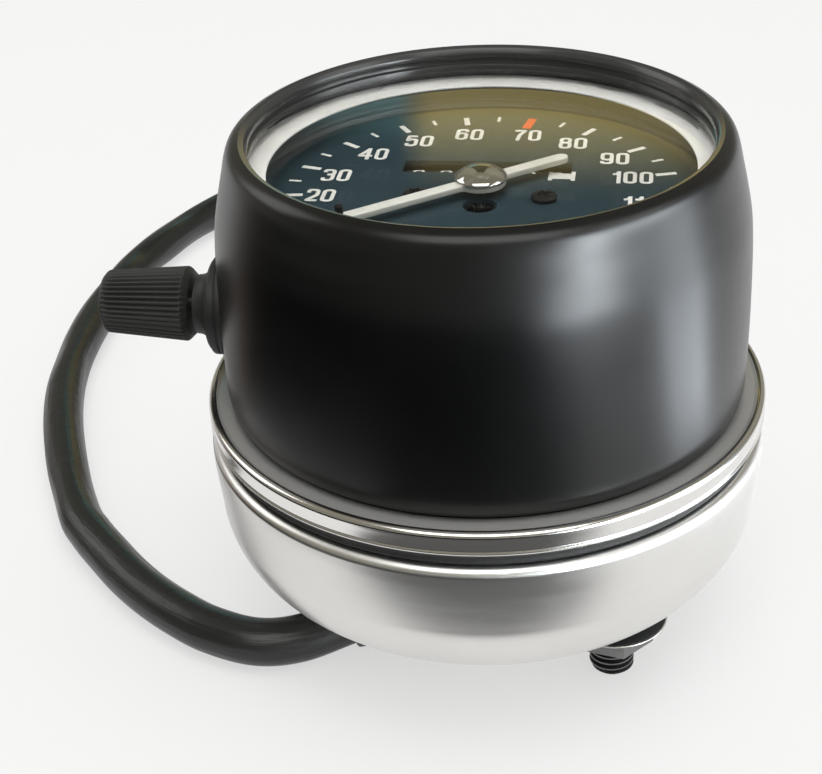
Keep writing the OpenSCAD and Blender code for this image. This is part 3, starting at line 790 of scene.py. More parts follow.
@dataclass(frozen=True)
class Enamel(Finish):
    """Stoved paint with a faint ripple, a mottled gloss and a little dust."""

    ripple: float = 0.05
    dust: float = 0.5
    mottle: float = 0.1
    clouds: float = 38.0
    grains: float = 1500.0
    specks: float = 260.0
    dust_colour: Colour = (0.34, 0.33, 0.31)

    def detail(self, graph: Graph) -> dict:
        """Adds the ripple, the mottling and the dust."""
        at = graph.place()
        cloud = graph.noise(at, self.clouds, 3)
        grain = graph.noise(at, self.grains, 2)
        colour = self.shades(graph, cloud, 0.25)
        if self.dust > 0:
            specks = graph.node("ShaderNodeTexVoronoi", sockets={
                "Vector": at, "Scale": self.specks})
            speck = (1 - specks.ramp(0.02, 0.05)) * graph.noise(at, 90, 0).ramp(0.6, 0.7)
            colour = graph.mix(speck * self.dust, colour, self.dust_colour)
        return {"Base Color": colour,
                "Roughness": (self.rough + (cloud - 0.5) * self.mottle
                              + (grain - 0.5) * 0.06).most(self.least()),
                "Normal": graph.bump(grain, self.ripple, 0.00006)}


@dataclass(frozen=True)
class Turned(Finish):
    """Metal with fine lines round an upright axis, from turning or brushing."""

    lines: float = 5200.0
    depth: float = 0.1
    streak: float = 0.1
    stain: float = 0.12

    def detail(self, graph: Graph) -> dict:
        """Adds the lines, the streaks in the gloss and faint stains."""
        at = graph.place()
        x, y, z = graph.parts(at)
        around = graph.node("ShaderNodeVectorMath", {"operation": "NORMALIZE"},
                            {0: graph.vector(x, y, 0.0)})
        ax, ay, _ = graph.parts(around)
        out = (x * x + y * y) ** 0.5
        across = out * 0.8 + z
        lines = graph.noise(graph.vector(ax * 3.0, ay * 3.0, across * self.lines), 1.0, 3, 0.65)
        bands = graph.noise(graph.vector(ax * 1.5, ay * 1.5, across * self.lines * 0.13), 1.0, 2)
        stain = graph.noise(at, 55, 4)
        return {"Base Color": self.shades(graph, stain * 0.6 + lines * 0.4, self.stain),
                "Roughness": (self.rough + (lines - 0.5) * self.streak
                              + (bands - 0.5) * self.streak * 0.8
                              + stain.ramp(0.55, 0.85) * self.streak * 0.5).most(self.least()),
                "Normal": graph.bump(lines, self.depth, 0.00002)}


@dataclass(frozen=True)
class Moulded(Finish):
    """Rubber or plastic with a fine moulded grain and dull patches."""

    grain: float = 900.0
    depth: float = 0.15

    def detail(self, graph: Graph) -> dict:
        """Adds the grain and the patches."""
        at = graph.place()
        grain = graph.noise(at, self.grain, 3)
        patch = graph.noise(at, 75, 3)
        return {"Base Color": self.shades(graph, patch * 0.7 + grain * 0.3, 0.35),
                "Roughness": self.rough + (patch - 0.5) * 0.2 + (grain - 0.5) * 0.08,
                "Normal": graph.bump(grain, self.depth, 0.0001)}


@dataclass(frozen=True)
class Cast(Finish):
    """Blackened or sintered metal with a grain that wears bright at its edges."""

    wear: Colour = (0.3, 0.29, 0.28)

    def detail(self, graph: Graph) -> dict:
        """Adds the grain and the worn edges."""
        at = graph.place()
        grain = graph.noise(at, 700, 4)
        patch = graph.noise(at, 160, 3)
        edge = graph.node("ShaderNodeNewGeometry", out="Pointiness").ramp(0.52, 0.62)
        return {"Base Color": graph.mix(edge * patch.ramp(0.4, 0.75) * 0.5,
                                        self.shades(graph, grain, 0.4), self.wear),
                "Roughness": self.rough + (patch - 0.5) * 0.25,
                "Normal": graph.bump(grain, 0.12, 0.00008)}


@dataclass(frozen=True)
class Sleeving(Finish):
    """Soft plastic sleeving with long creases, lighter on their raised lines and darker in their
    hollows: painted shade of the creases.
    """

    def detail(self, graph: Graph) -> dict:
        """Adds the creases along the sleeve and its worn gloss."""
        at = graph.place()
        along, x, y = graph.parts(graph.node("ShaderNodeAttribute", {"attribute_name": "sleeve"},
                                             out="Vector"))
        crease = graph.noise(graph.vector(along * 0.035, x * 2.2, y * 2.2), 1.0, 3, 0.55)
        pucker = graph.noise(graph.vector(along * 0.3, x * 1.1, y * 1.1), 1.0, 2)
        grain = graph.noise(at, 1300, 2)
        # The colour follows the crease relief: painted shade, darker in the hollows and lighter on
        # the raised lines.
        return {"Base Color": self.shades(graph, crease, 0.35),
                "Roughness": (self.rough + (crease - 0.5) * 0.25
                              + (grain - 0.5) * 0.08).most(self.least()),
                "Normal": graph.bump(crease * 0.7 + pucker * 0.25 + grain * 0.05, 0.6, 0.0007)}


@dataclass(frozen=True)
class Clear(Finish):
    """Clear glass that lets light through and mirrors by its angle."""

    facing_on: float = 0.045
    rising: float = 1.24

    def shader(self, graph: Graph) -> Field:
        """Mixes a clear and a mirroring surface, which mirrors more when seen aslant."""
        smear = graph.noise(graph.place(), 30, 3).ramp(0.4, 0.9)
        mirror = graph.node("ShaderNodeBsdfGlossy", sockets={
            "Color": (1, 1, 1, 1), "Roughness": smear * 0.05 + self.rough})
        aslant = graph.node("ShaderNodeLayerWeight", sockets={"Blend": 0.5}, out="Facing")
        share = aslant ** 5.0 * self.rising + self.facing_on
        return graph.blend(share, graph.clear(self.colour), mirror)


@dataclass(frozen=True)
class Stage(Finish):
    """Plain pale table top, whose shadows the lens, metal and glass see softened."""

    glow: float = 0.75
    white: float = 0.81
    warmth: float = 0.995

    def shader(self, graph: Graph) -> Field:
        """Mixes the lit board with plain white where it is looked at."""
        lit = super().shader(graph)
        path = graph.node("ShaderNodeLightPath", out="Is Camera Ray")
        outs = path.socket.node.outputs
        looked_at = path + Field(graph, outs["Is Glossy Ray"]) + Field(
            graph, outs["Is Transmission Ray"])
        plain = graph.glow((self.white, self.white, self.white * self.warmth))
        return graph.blend(looked_at * self.glow, lit, plain)

    def detail(self, graph: Graph) -> dict:
        """Adds the faint unevenness of a painted board."""
        cloud = graph.noise(graph.place(), 7, 3)
        return {"Base Color": self.shades(graph, cloud, 0.012)}


BOWL = Turned("brushed_bowl_steel", (0.76, 0.75, 0.73), 0.3, 1.0, 0.55, streak=0.16, depth=0.1)
TRIM = Turned("polished_trim_steel", (0.8, 0.79, 0.77), 0.16, 1.0, 0.2, lines=9000, streak=0.04,
              depth=0.03, stain=0.05)
FACE = Turned("satin_trim_face", (0.36, 0.355, 0.34), 0.36, 0.5, streak=0.1, stain=0.1)
SHROUD = Enamel("satin_black_enamel", (0.001, 0.0011, 0.0012), 0.31, mottle=0.2, dust=0.0)
RIM = Enamel("gloss_black_enamel", (0.03, 0.03, 0.029), 0.2, ripple=0.02, dust=0.9)
RUBBER = Moulded("black_rubber_moulding", (0.014, 0.014, 0.0138), 0.52)
KNOB = Moulded("knob_black_moulding", (0.016, 0.0162, 0.0155), 0.5, grain=1400)
PLASTIC = Moulded("connector_black_plastic", (0.02, 0.02, 0.021), 0.45)
WHITE_RING = Moulded("white_ring_plastic", (0.96, 0.94, 0.87), 0.42, depth=0.05)
# The dial's teal-blue tint is a painted sheen: the cool window light that a black dial mirrors,
# painted into its colour.
DIAL_WITH_PAINTED_SHEEN = Enamel("dial_dark_paint_and_painted_sheen", (0.017, 0.037, 0.048), 0.55, shine=0.3, ripple=0.1, dust=0.3)
PRINT = Moulded("white_dial_print", (0.72, 0.71, 0.67), 0.6, depth=0.08)
RED = Moulded("red_dial_print", (0.78, 0.075, 0.016), 0.55, depth=0.08)
POINTER = Moulded("white_pointer_paint", (0.68, 0.67, 0.62), 0.4, depth=0.04)
CHROME = Turned("chrome_cap_plating", (0.83, 0.83, 0.82), 0.035, 1.0, streak=0.015, depth=0.01,
                stain=0.03)
BLACKENED = Cast("blackened_steel", (0.012, 0.011, 0.0105), 0.42, 0.3)
WORN = Cast("worn_black_steel", (0.17, 0.17, 0.17), 0.28, 1.0, wear=(0.5, 0.5, 0.49))
SEAT = Moulded("washer_black_rubber", (0.006, 0.006, 0.006), 0.5, shine=0.3)
STEEL = Turned("plated_steel_shafts", (0.6, 0.59, 0.56), 0.26, 1.0)
BRASS = Turned("turned_brass", (0.66, 0.47, 0.19), 0.28, 1.0, stain=0.25)
BRONZE = Turned("spring_bronze_strip", (0.6, 0.38, 0.19), 0.3, 1.0)
ALUMINIUM = Turned("spun_aluminium", (0.75, 0.75, 0.76), 0.32, 1.0)
MAGNET = Cast("sintered_magnet", (0.06, 0.06, 0.063), 0.5, 0.8)
ACETAL = Moulded("natural_acetal", (0.72, 0.71, 0.65), 0.4, depth=0.05)
DRUM = Moulded("drum_black_plastic", (0.014, 0.014, 0.014), 0.4)
CAN = Enamel("can_grey_paint", (0.1, 0.11, 0.105), 0.5)
SLEEVE = Sleeving("black_sleeving", (0.007, 0.0072, 0.007), 0.34)
GLASS = Clear("window_glass", (0.99, 0.99, 0.98), 0.0)
LAMP = Clear("lamp_glass_bulb", (0.95, 0.94, 0.9), 0.02)
TABLE = Stage("table_white", (0.78, 0.776, 0.768), 0.75, shine=0.0)

FRAME_FINISHES: dict[str, Finish] = {
    "brushed_bowl": BOWL, "polished_trim": TRIM, "black_shroud": SHROUD, "black_can": CAN,
    "black_rubber": RUBBER, "glass": GLASS, "white_ring": WHITE_RING, "dial_face": DIAL_WITH_PAINTED_SHEEN,
    "black_screw": BLACKENED, "plated_steel": STEEL, "brass": BRASS, "spring_bronze": BRONZE,
    "moulded_black": PLASTIC, "lamp_glass": LAMP, "white_pointer": POINTER,
    "chrome_cap": CHROME, "aluminium": ALUMINIUM, "magnet_steel": MAGNET, "drum_black": DRUM,
    "gear_plastic": ACETAL, "cord_black": SLEEVE,
}


# Studio


def shining(colour: Field, strength: float = 1.0) -> dict:
    """Gives the sockets of a surface that only shines."""
    return {"Base Color": BLACK, "Emission Color": colour, "Emission Strength": strength}


@dataclass(frozen=True)
class Surround(Finish):
    """Room that the glass mirrors: a warm wall between cooler, darker ones."""

    cool: Colour = (0.4, 0.92, 0.92)
    dark: Colour = (0.02, 0.021, 0.02)
    plain: Colour = (0.3, 0.285, 0.23)
    warm_left: Point = (-0.118, -0.092)
    warm_right: Point = (0.04, 0.075)
    warm_top: Point = (0.31, 0.37)
    cool_top: Point = (0.28, 0.34)
    side_left: Point = (-0.222, -0.205)
    side_right: Point = (0.078, 0.092)

    def detail(self, graph: Graph) -> dict:
        """Adds the soft-edged areas as glow."""
        x, _, z = graph.parts(graph.place())
        left = x.ramp(*self.warm_left)
        warm = left * (1 - x.ramp(*self.warm_right)) * (1 - z.ramp(*self.warm_top))
        pale = (1 - left) * (1 - z.ramp(*self.cool_top))
        sides = x.ramp(*self.side_right) + (1 - x.ramp(*self.side_left))
        room = graph.mix(warm, graph.mix(pale, self.dark, self.cool), self.colour)
        return shining(graph.mix(sides, room, self.plain))


@dataclass(frozen=True)
class Daylight(Finish):
    """Two panes of a window and the paler part between them, all with soft edges."""

    dark: Colour = (0.012, 0.012, 0.012)
    panes: tuple[Point, Point] = ((-0.52, 0.14), (0.01, 0.13))
    pane_edge: Point = (0.0, 0.6)
    upper: float = 0.45
    upper_near: Point = (-0.62, -0.4)
    upper_far: Point = (-0.05, 0.15)
    upper_low: Point = (0.03, 0.22)
    top: Point = (0.27, 0.42)

    def detail(self, graph: Graph) -> dict:
        """Adds the glow of both panes."""
        _, y, z = graph.parts(graph.place())
        wide = [(y - at) / half for at, half in self.panes]
        full = [(1 - w * w).ramp(*self.pane_edge) for w in wide]
        above = (y.ramp(*self.upper_near) * (1 - y.ramp(*self.upper_far))
                 * z.ramp(*self.upper_low) * self.upper)
        share = (full[0] + full[1] * DIM_PANE).most(above) * (1 - z.ramp(*self.top))
        return shining(graph.mix(share, self.dark, self.colour), DAYLIGHT)


@dataclass(frozen=True)
class Shade(Finish):
    """Floor beyond the white board: dim in front and at the left, daylit at the right."""

    brown: Colour = (0.16, 0.11, 0.08)
    day: Colour = (0.9, 0.97, 1.04)
    facing: Point = (-0.59, -0.81)
    facing_edge: Point = (0.05, 0.45)
    far_edge: Point = (0.1, 0.13)
    viewer: Point = (0.113, -0.994)
    near_edge: Point = (0.065, 0.077)
    near_left: Point = (-0.074, -0.058)
    near_right: Point = (0.03, 0.066)
    near_share: float = 0.9
    wall: Point = (-0.766, 0.643)
    wall_edge: Point = (0.75, 0.92)
    panes: tuple[Point, ...] = ((0.766, -0.643), (0.9976, -0.07), (0.914, -0.407))
    pane_edges: tuple[Point, ...] = ((0.92, 0.998), (0.965, 0.998), (0.92, 0.998))
    pane_starts: tuple[Point, ...] = ((0.17, 0.85), (0.1, 0.14), (0.4, 0.9))

    def shader(self, graph: Graph) -> Field:
        """Mixes the dim floor, the daylit patches and nothing by distance and direction."""
        x, y, _ = graph.parts(graph.place())
        out = (x * x + y * y) ** 0.5 + 0.001

        def towards(way: Point, edge: Point) -> Field:
            """Gives the share of a direction."""
            return ((x * way[0] + y * way[1]) / out).ramp(*edge)

        ahead = x * self.viewer[0] + y * self.viewer[1]
        aside = y * self.viewer[0] - x * self.viewer[1]
        far = out.ramp(*self.far_edge) * towards(self.facing, self.facing_edge)
        near = (ahead.ramp(*self.near_edge) * aside.ramp(*self.near_left)
                * (1 - aside.ramp(*self.near_right)) * self.near_share)
        dim = graph.glow(graph.mix(towards(self.wall, self.wall_edge), self.colour, self.brown))
        shade = graph.blend(far.most(near), graph.clear(), dim)
        panes = [towards(way, edge) for way, edge in zip(self.panes, self.pane_edges)]
        soft = tuple(c * DIM_PANE for c in self.day)
        lit = graph.glow(graph.mix(panes[1].most(panes[2]), self.day, soft), DAYLIGHT)
        parts = [pane * out.ramp(*start) for pane, start in zip(panes, self.pane_starts)]
        return graph.blend(parts[0].most(parts[1]).most(parts[2]), shade, lit)


ROOM = Surround("surround_room", (0.8, 0.65, 0.24), 1.0, shine=0.0)
WINDOW = Daylight("window_daylight", (0.9, 0.96, 1.0), 1.0, shine=0.0)
FLOOR = Shade("front_shade", (0.012, 0.012, 0.012), 1.0)


@dataclass(frozen=True)
class Lamp:
    """A soft lamp: its place, aim and size in metres, its power, and whether metal shows it."""

    name: str
    at: Place
    aim: Place
    size: Point
    power: float
    mirrored: bool = True

    def hang(self) -> None:
        """Hangs the lamp and turns it to its aim."""
        data = bpy.data.lights.new(self.name, "AREA")
        data.shape, data.energy = "RECTANGLE", self.power
        data.size, data.size_y = self.size
        item = add(self.name, data)
        item.location, item.visible_glossy = self.at, self.mirrored
        way = Vector(self.aim) - Vector(self.at)
        item.rotation_euler = way.to_track_quat("-Z", "Y").to_euler()


@dataclass
class Studio:
    """Camera, table, lamps and the cards that only mirroring surfaces see."""

    sensor: float = 36.0
    focal_px: float = 1600.0
    photo_px: float = 822.0
    clip: Point = (0.01, 100.0)
    rise: float = 30.342
    distance: float = 290.588
    target: float = 47.2
    yaw: float = -2.647
    pitch: float = -0.473
    roll: float = -1.228
    azimuth: float = 6.5
    sky: float = 0.45
    ceiling: Colour = (0.24, 0.225, 0.18)
    table_half: float = 6000.0
    lamps: tuple[Lamp, ...] = (
        Lamp("lamp_above", (0.05, 0.12, 1.3), (0, 0, 0), (1.2, 1.2), 17.0, False),
        Lamp("lamp_front", (0.1, -0.8, 1.35), (0, 0, 0.08), (1.5, 1.0), 11.0),
        Lamp("lamp_right", (0.9, -0.1, 0.6), (0, 0, 0.06), (0.6, 0.6), 2.0),
        Lamp("lamp_left", (-0.9, 0.2, 0.6), (0, 0, 0.05), (0.6, 0.6), 2.0))
    wall: tuple[Place, Place] = ((-600, 600, 100), (600, 604, 1200))
    window: tuple[Place, Place] = ((620, -700, 2), (624, 360, 440))
    floor_half: float = 1300.0
    floor_z: float = 0.6

    def build(self) -> None:
        """Makes everything round the object, the camera first."""
        self.camera()
        Shape.sheet(self.table_half, 12).piece("table_top", TABLE)
        self.light()
        self.cards()
        bpy.context.scene.view_settings.view_transform = "Standard"

    def camera(self) -> None:
        """Stands the camera where the photograph was taken from."""
        e, a, b, r = (math.radians(v) for v in (self.rise, self.yaw, self.pitch, self.roll))
        ahead, right = Vector((0, math.cos(e), -math.sin(e))), Vector((1, 0, 0))
        up = right.cross(ahead)
        eye = Vector((0, 0, self.target)) - ahead * self.distance
        right, ahead = (math.cos(a) * right - math.sin(a) * ahead,
                        math.sin(a) * right + math.cos(a) * ahead)
        up, ahead = (math.cos(b) * up - math.sin(b) * ahead,
                     math.sin(b) * up + math.cos(b) * ahead)
        right, up = (math.cos(r) * right + math.sin(r) * up,
                     math.cos(r) * up - math.sin(r) * right)
        turn = Matrix.Rotation(math.radians(self.azimuth), 4, "Z")
        stand = Matrix((right, up, -ahead)).transposed().to_4x4()
        stand.translation = eye * MM
        data = bpy.data.cameras.new("photo_camera")
        data.sensor_width = self.sensor
        data.lens = self.focal_px / self.photo_px * self.sensor
        data.clip_start, data.clip_end = self.clip
        item = add("photo_camera", data)
        item.matrix_world = turn @ stand
        bpy.context.scene.camera = item

    def light(self) -> None:
        """Hangs the lamps and sets the sky, which mirroring surfaces see as a ceiling."""
        for lamp in self.lamps:
            lamp.hang()
        world = bpy.data.worlds.new("studio_sky")
        bpy.context.scene.world = world
        graph = Graph(world)
        mirrored = graph.node("ShaderNodeLightPath", out="Is Glossy Ray")
        colour = graph.mix(mirrored, (self.sky, self.sky, self.sky), self.ceiling)
        graph.surface(graph.node("ShaderNodeBackground", sockets={
            "Color": colour, "Strength": 1.0}))

    def cards(self) -> None:
        """Sets up the surroundings that the glass, the shroud and the metal mirror."""
        wall = Shape.block(*self.wall).piece("surround_card", ROOM)
        window = Shape.block(*self.window).piece("window_card", WINDOW)
        floor = Shape.sheet(self.floor_half, 8).move(0, 0, self.floor_z)
        front = floor.piece("front_card", FLOOR)
        for item in (wall, window, front):
            item.visible_camera = item.visible_diffuse = item.visible_shadow = False
            item.visible_transmission = item.visible_volume_scatter = False


# Harness


@dataclass
class Harness:
    """Sleeved wiring harness with its elbow under the bowl and its connector."""

    radius: float = 4.5
    lying: float = 4.7
    elbow_z: float = 6.0
    flange_r: float = 8.2
    inside_r: float = 7.6
    flange_t: float = 1.6
    relief_len: float = 11.0
    relief_ribs: int = 3
    rib_pitch: float = 2.6
    bore_r: float = 4.6
    bore_from: float = 4.5
    cord_from: float = 5.0
    heading: float = 205.0
    boot_z: float = 5.8
    plug: tuple[Place, Place] = ((1, -9, 0.1), (27, 9, 12.1))
    ways: tuple[int, int] = (4, 2)
    way_from: Point = (-7.4, 1.8)
    way_pitch: Point = (4.0, 5.0)
    way_size: Point = (2.8, 3.6)
    way_floor: float = 20.5
    pin_size: Place = (5.6, 1.0, 1.6)
    boot_r: float = 5.5
    boot_bore: float = 4.75
    boot_ribs: int = 3
    end: Point = (-19.0, 211.0)
    route: tuple[Point, ...] = (
        (-32, -26.4), (-40, -28.2), (-49, -25.7), (-56, -21.8), (-63, -16.8), (-69.5, -11),
        (-75.6, -4.5), (-81, 1.6), (-86, 8.5), (-93.6, 24), (-101, 42.5), (-105.8, 59),
        (-108.4, 76), (-109.2, 95), (-107.6, 117), (-102.4, 138.5), (-92.5, 160.5), (-78, 181),
        (-60, 197), (-40, 207))
    creases: tuple[tuple[float, float, float], ...] = (
        (150.0, 0.4, 9.0), (186.0, 0.7, 7.0), (204.0, 0.6, 6.0), (228.0, 0.7, 8.0),
        (92.0, 0.4, 8.0), (262.0, 0.3, 9.0), (318.0, 0.3, 9.0))

    def build(self) -> None:
        """Makes the cord, its elbow and its connector."""
        connector = self.connector()
        self.elbow()
        way = Vector((*polar(1, self.heading), 0))
        start = Vector((*CORD_EXIT, self.elbow_z))
        points = [start + self.cord_from * way, start + self.relief_len * way,
                  *(Vector((x, y, self.lying)) for x, y in self.route),
                  Vector((*self.end, self.boot_z))]
        path = smooth_curve(points, 10)
        cord = place(Shape.tube(path, self.thickness, 28).piece("harness_sleeve", SLEEVE, 60),
                     "cord_black", "cord_sleeve")
        metres = [p * MM for p in path]
        length = sum((b - a).length for a, b in zip(metres, metres[1:]))
        log.info("harness length %.3f m", length)

    def thickness(self, along: float, turn: float) -> float:
        """Gives the sleeve's radius, a little flattened and creased.

        Args:
            along: Length from the start of the cord.
            turn: Angle round it.

        Returns:
            The radius there.
        """
        soft = 0.06 * (1 - math.cos(2 * turn + along * 0.011))
        for at, depth, width in self.creases:
            near = math.exp(-((along - at) / width) ** 2)
            soft += depth * near * (0.5 + 0.5 * math.cos(3 * turn + at + 0.05 * (along - at)))
        return self.radius - soft

    def elbow(self) -> None:
        """Makes the elbow with its ribbed strain relief."""
        r, foot, end = ELBOW_R, self.elbow_z, self.relief_len
        under, over = BOWL_Z - self.flange_t, BOWL_Z + BOWL_WALL
        top = over + self.flange_t
        outline = rounded([(r, foot, 0), (r, under - 0.8, 0.8), (self.flange_r, under, 0.3),
                           (self.flange_r, BOWL_Z, 0), (r, BOWL_Z, 0), (r, over, 0),
                           (self.inside_r, over, 0), (self.inside_r, top, 0.5), (r, top, 0)],
                          closed=False)
        upright = Shape.lathe([(0, foot), *outline, (0, top)], 48, closed=False)
        relief = [(0.0, -r)] + arc(0, 0, r, -85, 0, 8)
        for k in range(self.relief_ribs):
            low = self.rib_pitch * (k + 1)
            thick = r - 0.08 * k
            relief += [(thick, low), (thick - 0.7, low + 0.4), (thick - 0.7, low + 1.0),
                       (thick, low + 1.4)]
        relief += rounded([(r - 0.2, end - 1.4, 0), (r - 0.25, end, 0.5), (self.bore_r, end, 0)],
                          3, False)
        relief += [(self.bore_r, self.bore_from), (0, self.bore_from)]
        stub = Shape.lathe(relief, 48, closed=False).turn(90, Axis.Y).turn(self.heading)
        elbow = upright.carve(stub.move(0, 0, self.elbow_z), Carve.ADD)
        place(elbow.move(*CORD_EXIT, 0).piece("harness_elbow", RUBBER), "black_rubber",
              "cord_grommet")

    def connector(self) -> list[bpy.types.Object]:
        """Makes the plug housing, its boot and its contacts.

        Returns:
            The pieces at the cord's end.
        """
        last = self.route[-1]
        heading = math.degrees(math.atan2(self.end[1] - last[1], self.end[0] - last[0]))
        shell = Shape.block(*self.plug, 1.0)
        front, floor, (wide, high) = self.plug[1][0], self.way_floor, self.way_size
        holes, pins = Shape(), Shape()
        for i in range(self.ways[0]):
            for k in range(self.ways[1]):
                y, z = (a + b * n for a, b, n in zip(self.way_from, self.way_pitch, (i, k)))
                holes.join(Shape.block((floor, y, z), (front + 3, y + wide, z + high)))
                low = (floor - 0.5, y + (wide - self.pin_size[1]) / 2,
                       z + (high - self.pin_size[2]) / 2)
                pins.join(Shape.block(low, [a + b for a, b in zip(low, self.pin_size)], 0.25))
        shell.carve(holes, Carve.CUT)
        latch = Shape.prism(rounded([(6, 12, 0), (7.5, 13.4, 0.6), (20, 13.4, 0.5),
                                     (20, 14.6, 0.4), (22.4, 14.6, 0.6), (24, 12.6, 0.3),
                                     (8, 12.6, 0.2), (8, 12, 0)], 3), -3, 3)
        latch.turn(90, Axis.X).bevel(0.25, 2, 60)
        ribs = [Shape.block((4, s * 9.0 - 0.35, 2), (18, s * 9.0 + 0.35, 10), 0.3)
                for s in (-0.985, 0.985)]
        r, bore = self.boot_r, self.boot_bore
        boot = [(bore, -7.0)]
        for k in range(self.boot_ribs):
            low = -6.9 + 2.4 * k
            boot += rounded([(r - 0.3, low, 0.2), (r, low + 0.3, 0.2), (r, low + 1.4, 0.2),
                             (r - 0.4, low + 1.6, 0.1), (r - 0.4, low + 2.3, 0.1)], 2, False)
        boot += [(r, 0.6), (r, 2.0), (bore, 2.0)]
        neck = Shape.lathe(boot, 48).turn(90, Axis.Y).move(0, 0, self.boot_z)
        whole = shell.join(latch, *ribs, neck).turn(heading).move(*self.end, 0)
        pins.turn(heading).move(*self.end, 0)
        return [place(whole.piece("harness_connector", PLASTIC), "moulded_black",
                      "cord_connector"),
                place(pins.piece("connector_contacts", BRASS), "brass")]


# Case


@dataclass
class Case:
    """Bowl, trim ring, rubber band, shroud and white ring."""

    foot_r: float = 43.45
    foot_low: float = 2.8
    seat_in: float = 3.65
    seat_low: float = 4.2
    can_r: float = 41.0
    rim_in: float = 38.8
    rim_z: float = 94.9
    ring_z: float = 47.2
    ring_r: float = 50.0
    glass_z: float = 90.6
    cup_corner: float = 16.0
    shoulder: float = 50.1
    bend: float = 1.7
    band_z: float = 40.4
    neck_out: float = 47.4
    reflector_r: float = 36.1
    bush_hole: Point = (38.0, 50.0)
    lip: float = 3.0

    @property
    def lip_z(self) -> float:
        """Gives the height of the bowl's lip, which the ring is rolled over."""
        return self.ring_z - self.lip

    def build(self) -> None:
        """Makes the case from the top down."""
        self.shroud()
        self.white_ring()
        self.trim_ring()
        self.band()
        self.bowl()

    def shroud(self) -> None:
        """Makes the barrel shroud with its stepped rim and the hole for the reset bush."""
        r, top, lip = SHROUD_R, self.rim_z, self.lip_z
        foot_z, seat_z = lip - self.foot_low, lip - self.seat_low
        can, seat = self.can_r + CLEAR, self.ring_r - self.seat_in
        side = [(self.foot_r, foot_z), (self.foot_r + 0.05, lip + 1.2),
                (self.foot_r + 0.35, lip + 2.1), (r - 1.7, lip + 2.75), (r - 0.8, lip + 3.3),
                (r - 0.2, lip + 4.7), (r, lip + 8), (r, lip + 17),
                (r - 0.15, top - 26.5), (r - 0.4, top - 20), (r - 0.85, top - 14.6),
                (r - 1.75, top - 10), (r - 2.6, top - 6.4), (r - 3.6, top - 2.4),
                (r - 4.6, top - 0.8), (r - 6.1, top)]
        outer = [(p.x, p.y) for p in smooth_curve(side, 6)]
        a = self.rim_in
        rim = rounded([(r - 6.1, top, 0), (a + 0.5, top - 0.25, 0.7), (a, top - 1.2, 0.5),
                       (a, top - 2, 0.15), (a + 0.6, top - 2.3, 0.1), (a + 0.6, top - 3.1, 0.1),
                       (a, top - 3.4, 0.15), (a, self.glass_z, 0)], 4, False)[1:]
        inner = [(x - 2, z) for x, z in side[::-1] if z < top - 9]
        inside = [(can, self.glass_z), (can, top - 7.5), *inner, (can, foot_z)]
        foot = [(can, seat_z), (seat, seat_z), (seat, foot_z)]
        barrel = Shape.lathe(foot + outer + rim + inside, 180)
        hole = Shape.rod(BUSH_R + CLEAR, *self.bush_hole).along_x().move(0, 0, KNOB_Z)
        barrel.carve(hole, Carve.CUT)
        place(barrel.piece("barrel_shroud", SHROUD, 40, RIM, self.is_rim), "black_shroud", "shroud")

    def is_rim(self, at: Vector) -> bool:
        """Tells whether a point lies on the glossy inside of the rim."""
        return at.z > self.glass_z - 0.1 and math.hypot(at.x, at.y) < self.rim_in + 1.4

    def white_ring(self) -> None:
        """Makes the white ring under the glass."""
        low, high = self.glass_z - 4, self.glass_z - 2
        ring = rounded([(self.reflector_r, high - 0.6, 0.1), (self.rim_in + 0.6, low, 0.2),
                        (self.can_r, low, 0), (self.can_r, high, 0),
                        (self.rim_in + 0.3, high, 0.4), (self.rim_in - 0.3, high - 0.1, 0.2),
                        (self.reflector_r, high - 0.3, 0.15)])
        place(Shape.lathe(ring, 180).piece("white_ring", WHITE_RING, 50), "white_ring",
              "reflector_ring")

    def trim_ring(self) -> None:
        """Makes the polished ring with its rolled rim and turned lip."""
        r, top = self.ring_r, self.ring_z
        inner, neck = self.foot_r + 0.85, self.neck_out + CLEAR
        ring = [(inner, self.lip_z)]
        ring += rounded([(inner, top - 0.9, 0.2), (inner + 0.3, top - 0.6, 0.2),
                         (inner + 2, top - 0.4, 0.5), (r - 1.9, top - 0.35, 0.4),
                         (r - 1.4, top - 0.12, 0.3)], 5, False)
        ring += arc(r - 0.9, top - 0.9, 0.9, 115, -5, 14)
        ring += rounded([(r - 0.06, top - 1.4, 0), (r - 0.2, top - 3.4, 0.3),
                         (r + 0.05, top - 3.75, 0.3), (r - 0.15, top - 4.2, 0.25),
                         (neck, top - 4.2, 0)], 5, False)
        ring.append((neck, self.lip_z))
        place(Shape.lathe(ring, 240).piece("trim_ring_polished", TRIM, 45, FACE, self.is_face),
              "polished_trim", "trim_ring")

    def is_face(self, at: Vector) -> bool:
        """Tells whether a point lies on the ring's flat face."""
        return at.z > self.ring_z - 0.8 and math.hypot(at.x, at.y) < self.ring_r - 1.35

    def band(self) -> None:
        """Makes the rubber band between the ring and the bowl."""
        r, low, high = self.ring_r, self.band_z + CLEAR, self.ring_z - 4.2 - CLEAR
        band = rounded([(self.neck_out, low, 0), (r - 1.5, low, 0.3), (r - 1.15, low + 0.5, 0.3),
                        (r - 1.35, (low + high) / 2, 0.8), (r - 0.8, high - 0.4, 0.4),
                        (r - 1.1, high, 0.2), (self.neck_out, high, 0)], 4)
        place(Shape.lathe(band, 180).piece("rubber_band", RUBBER), "black_rubber",
              "seal_band")

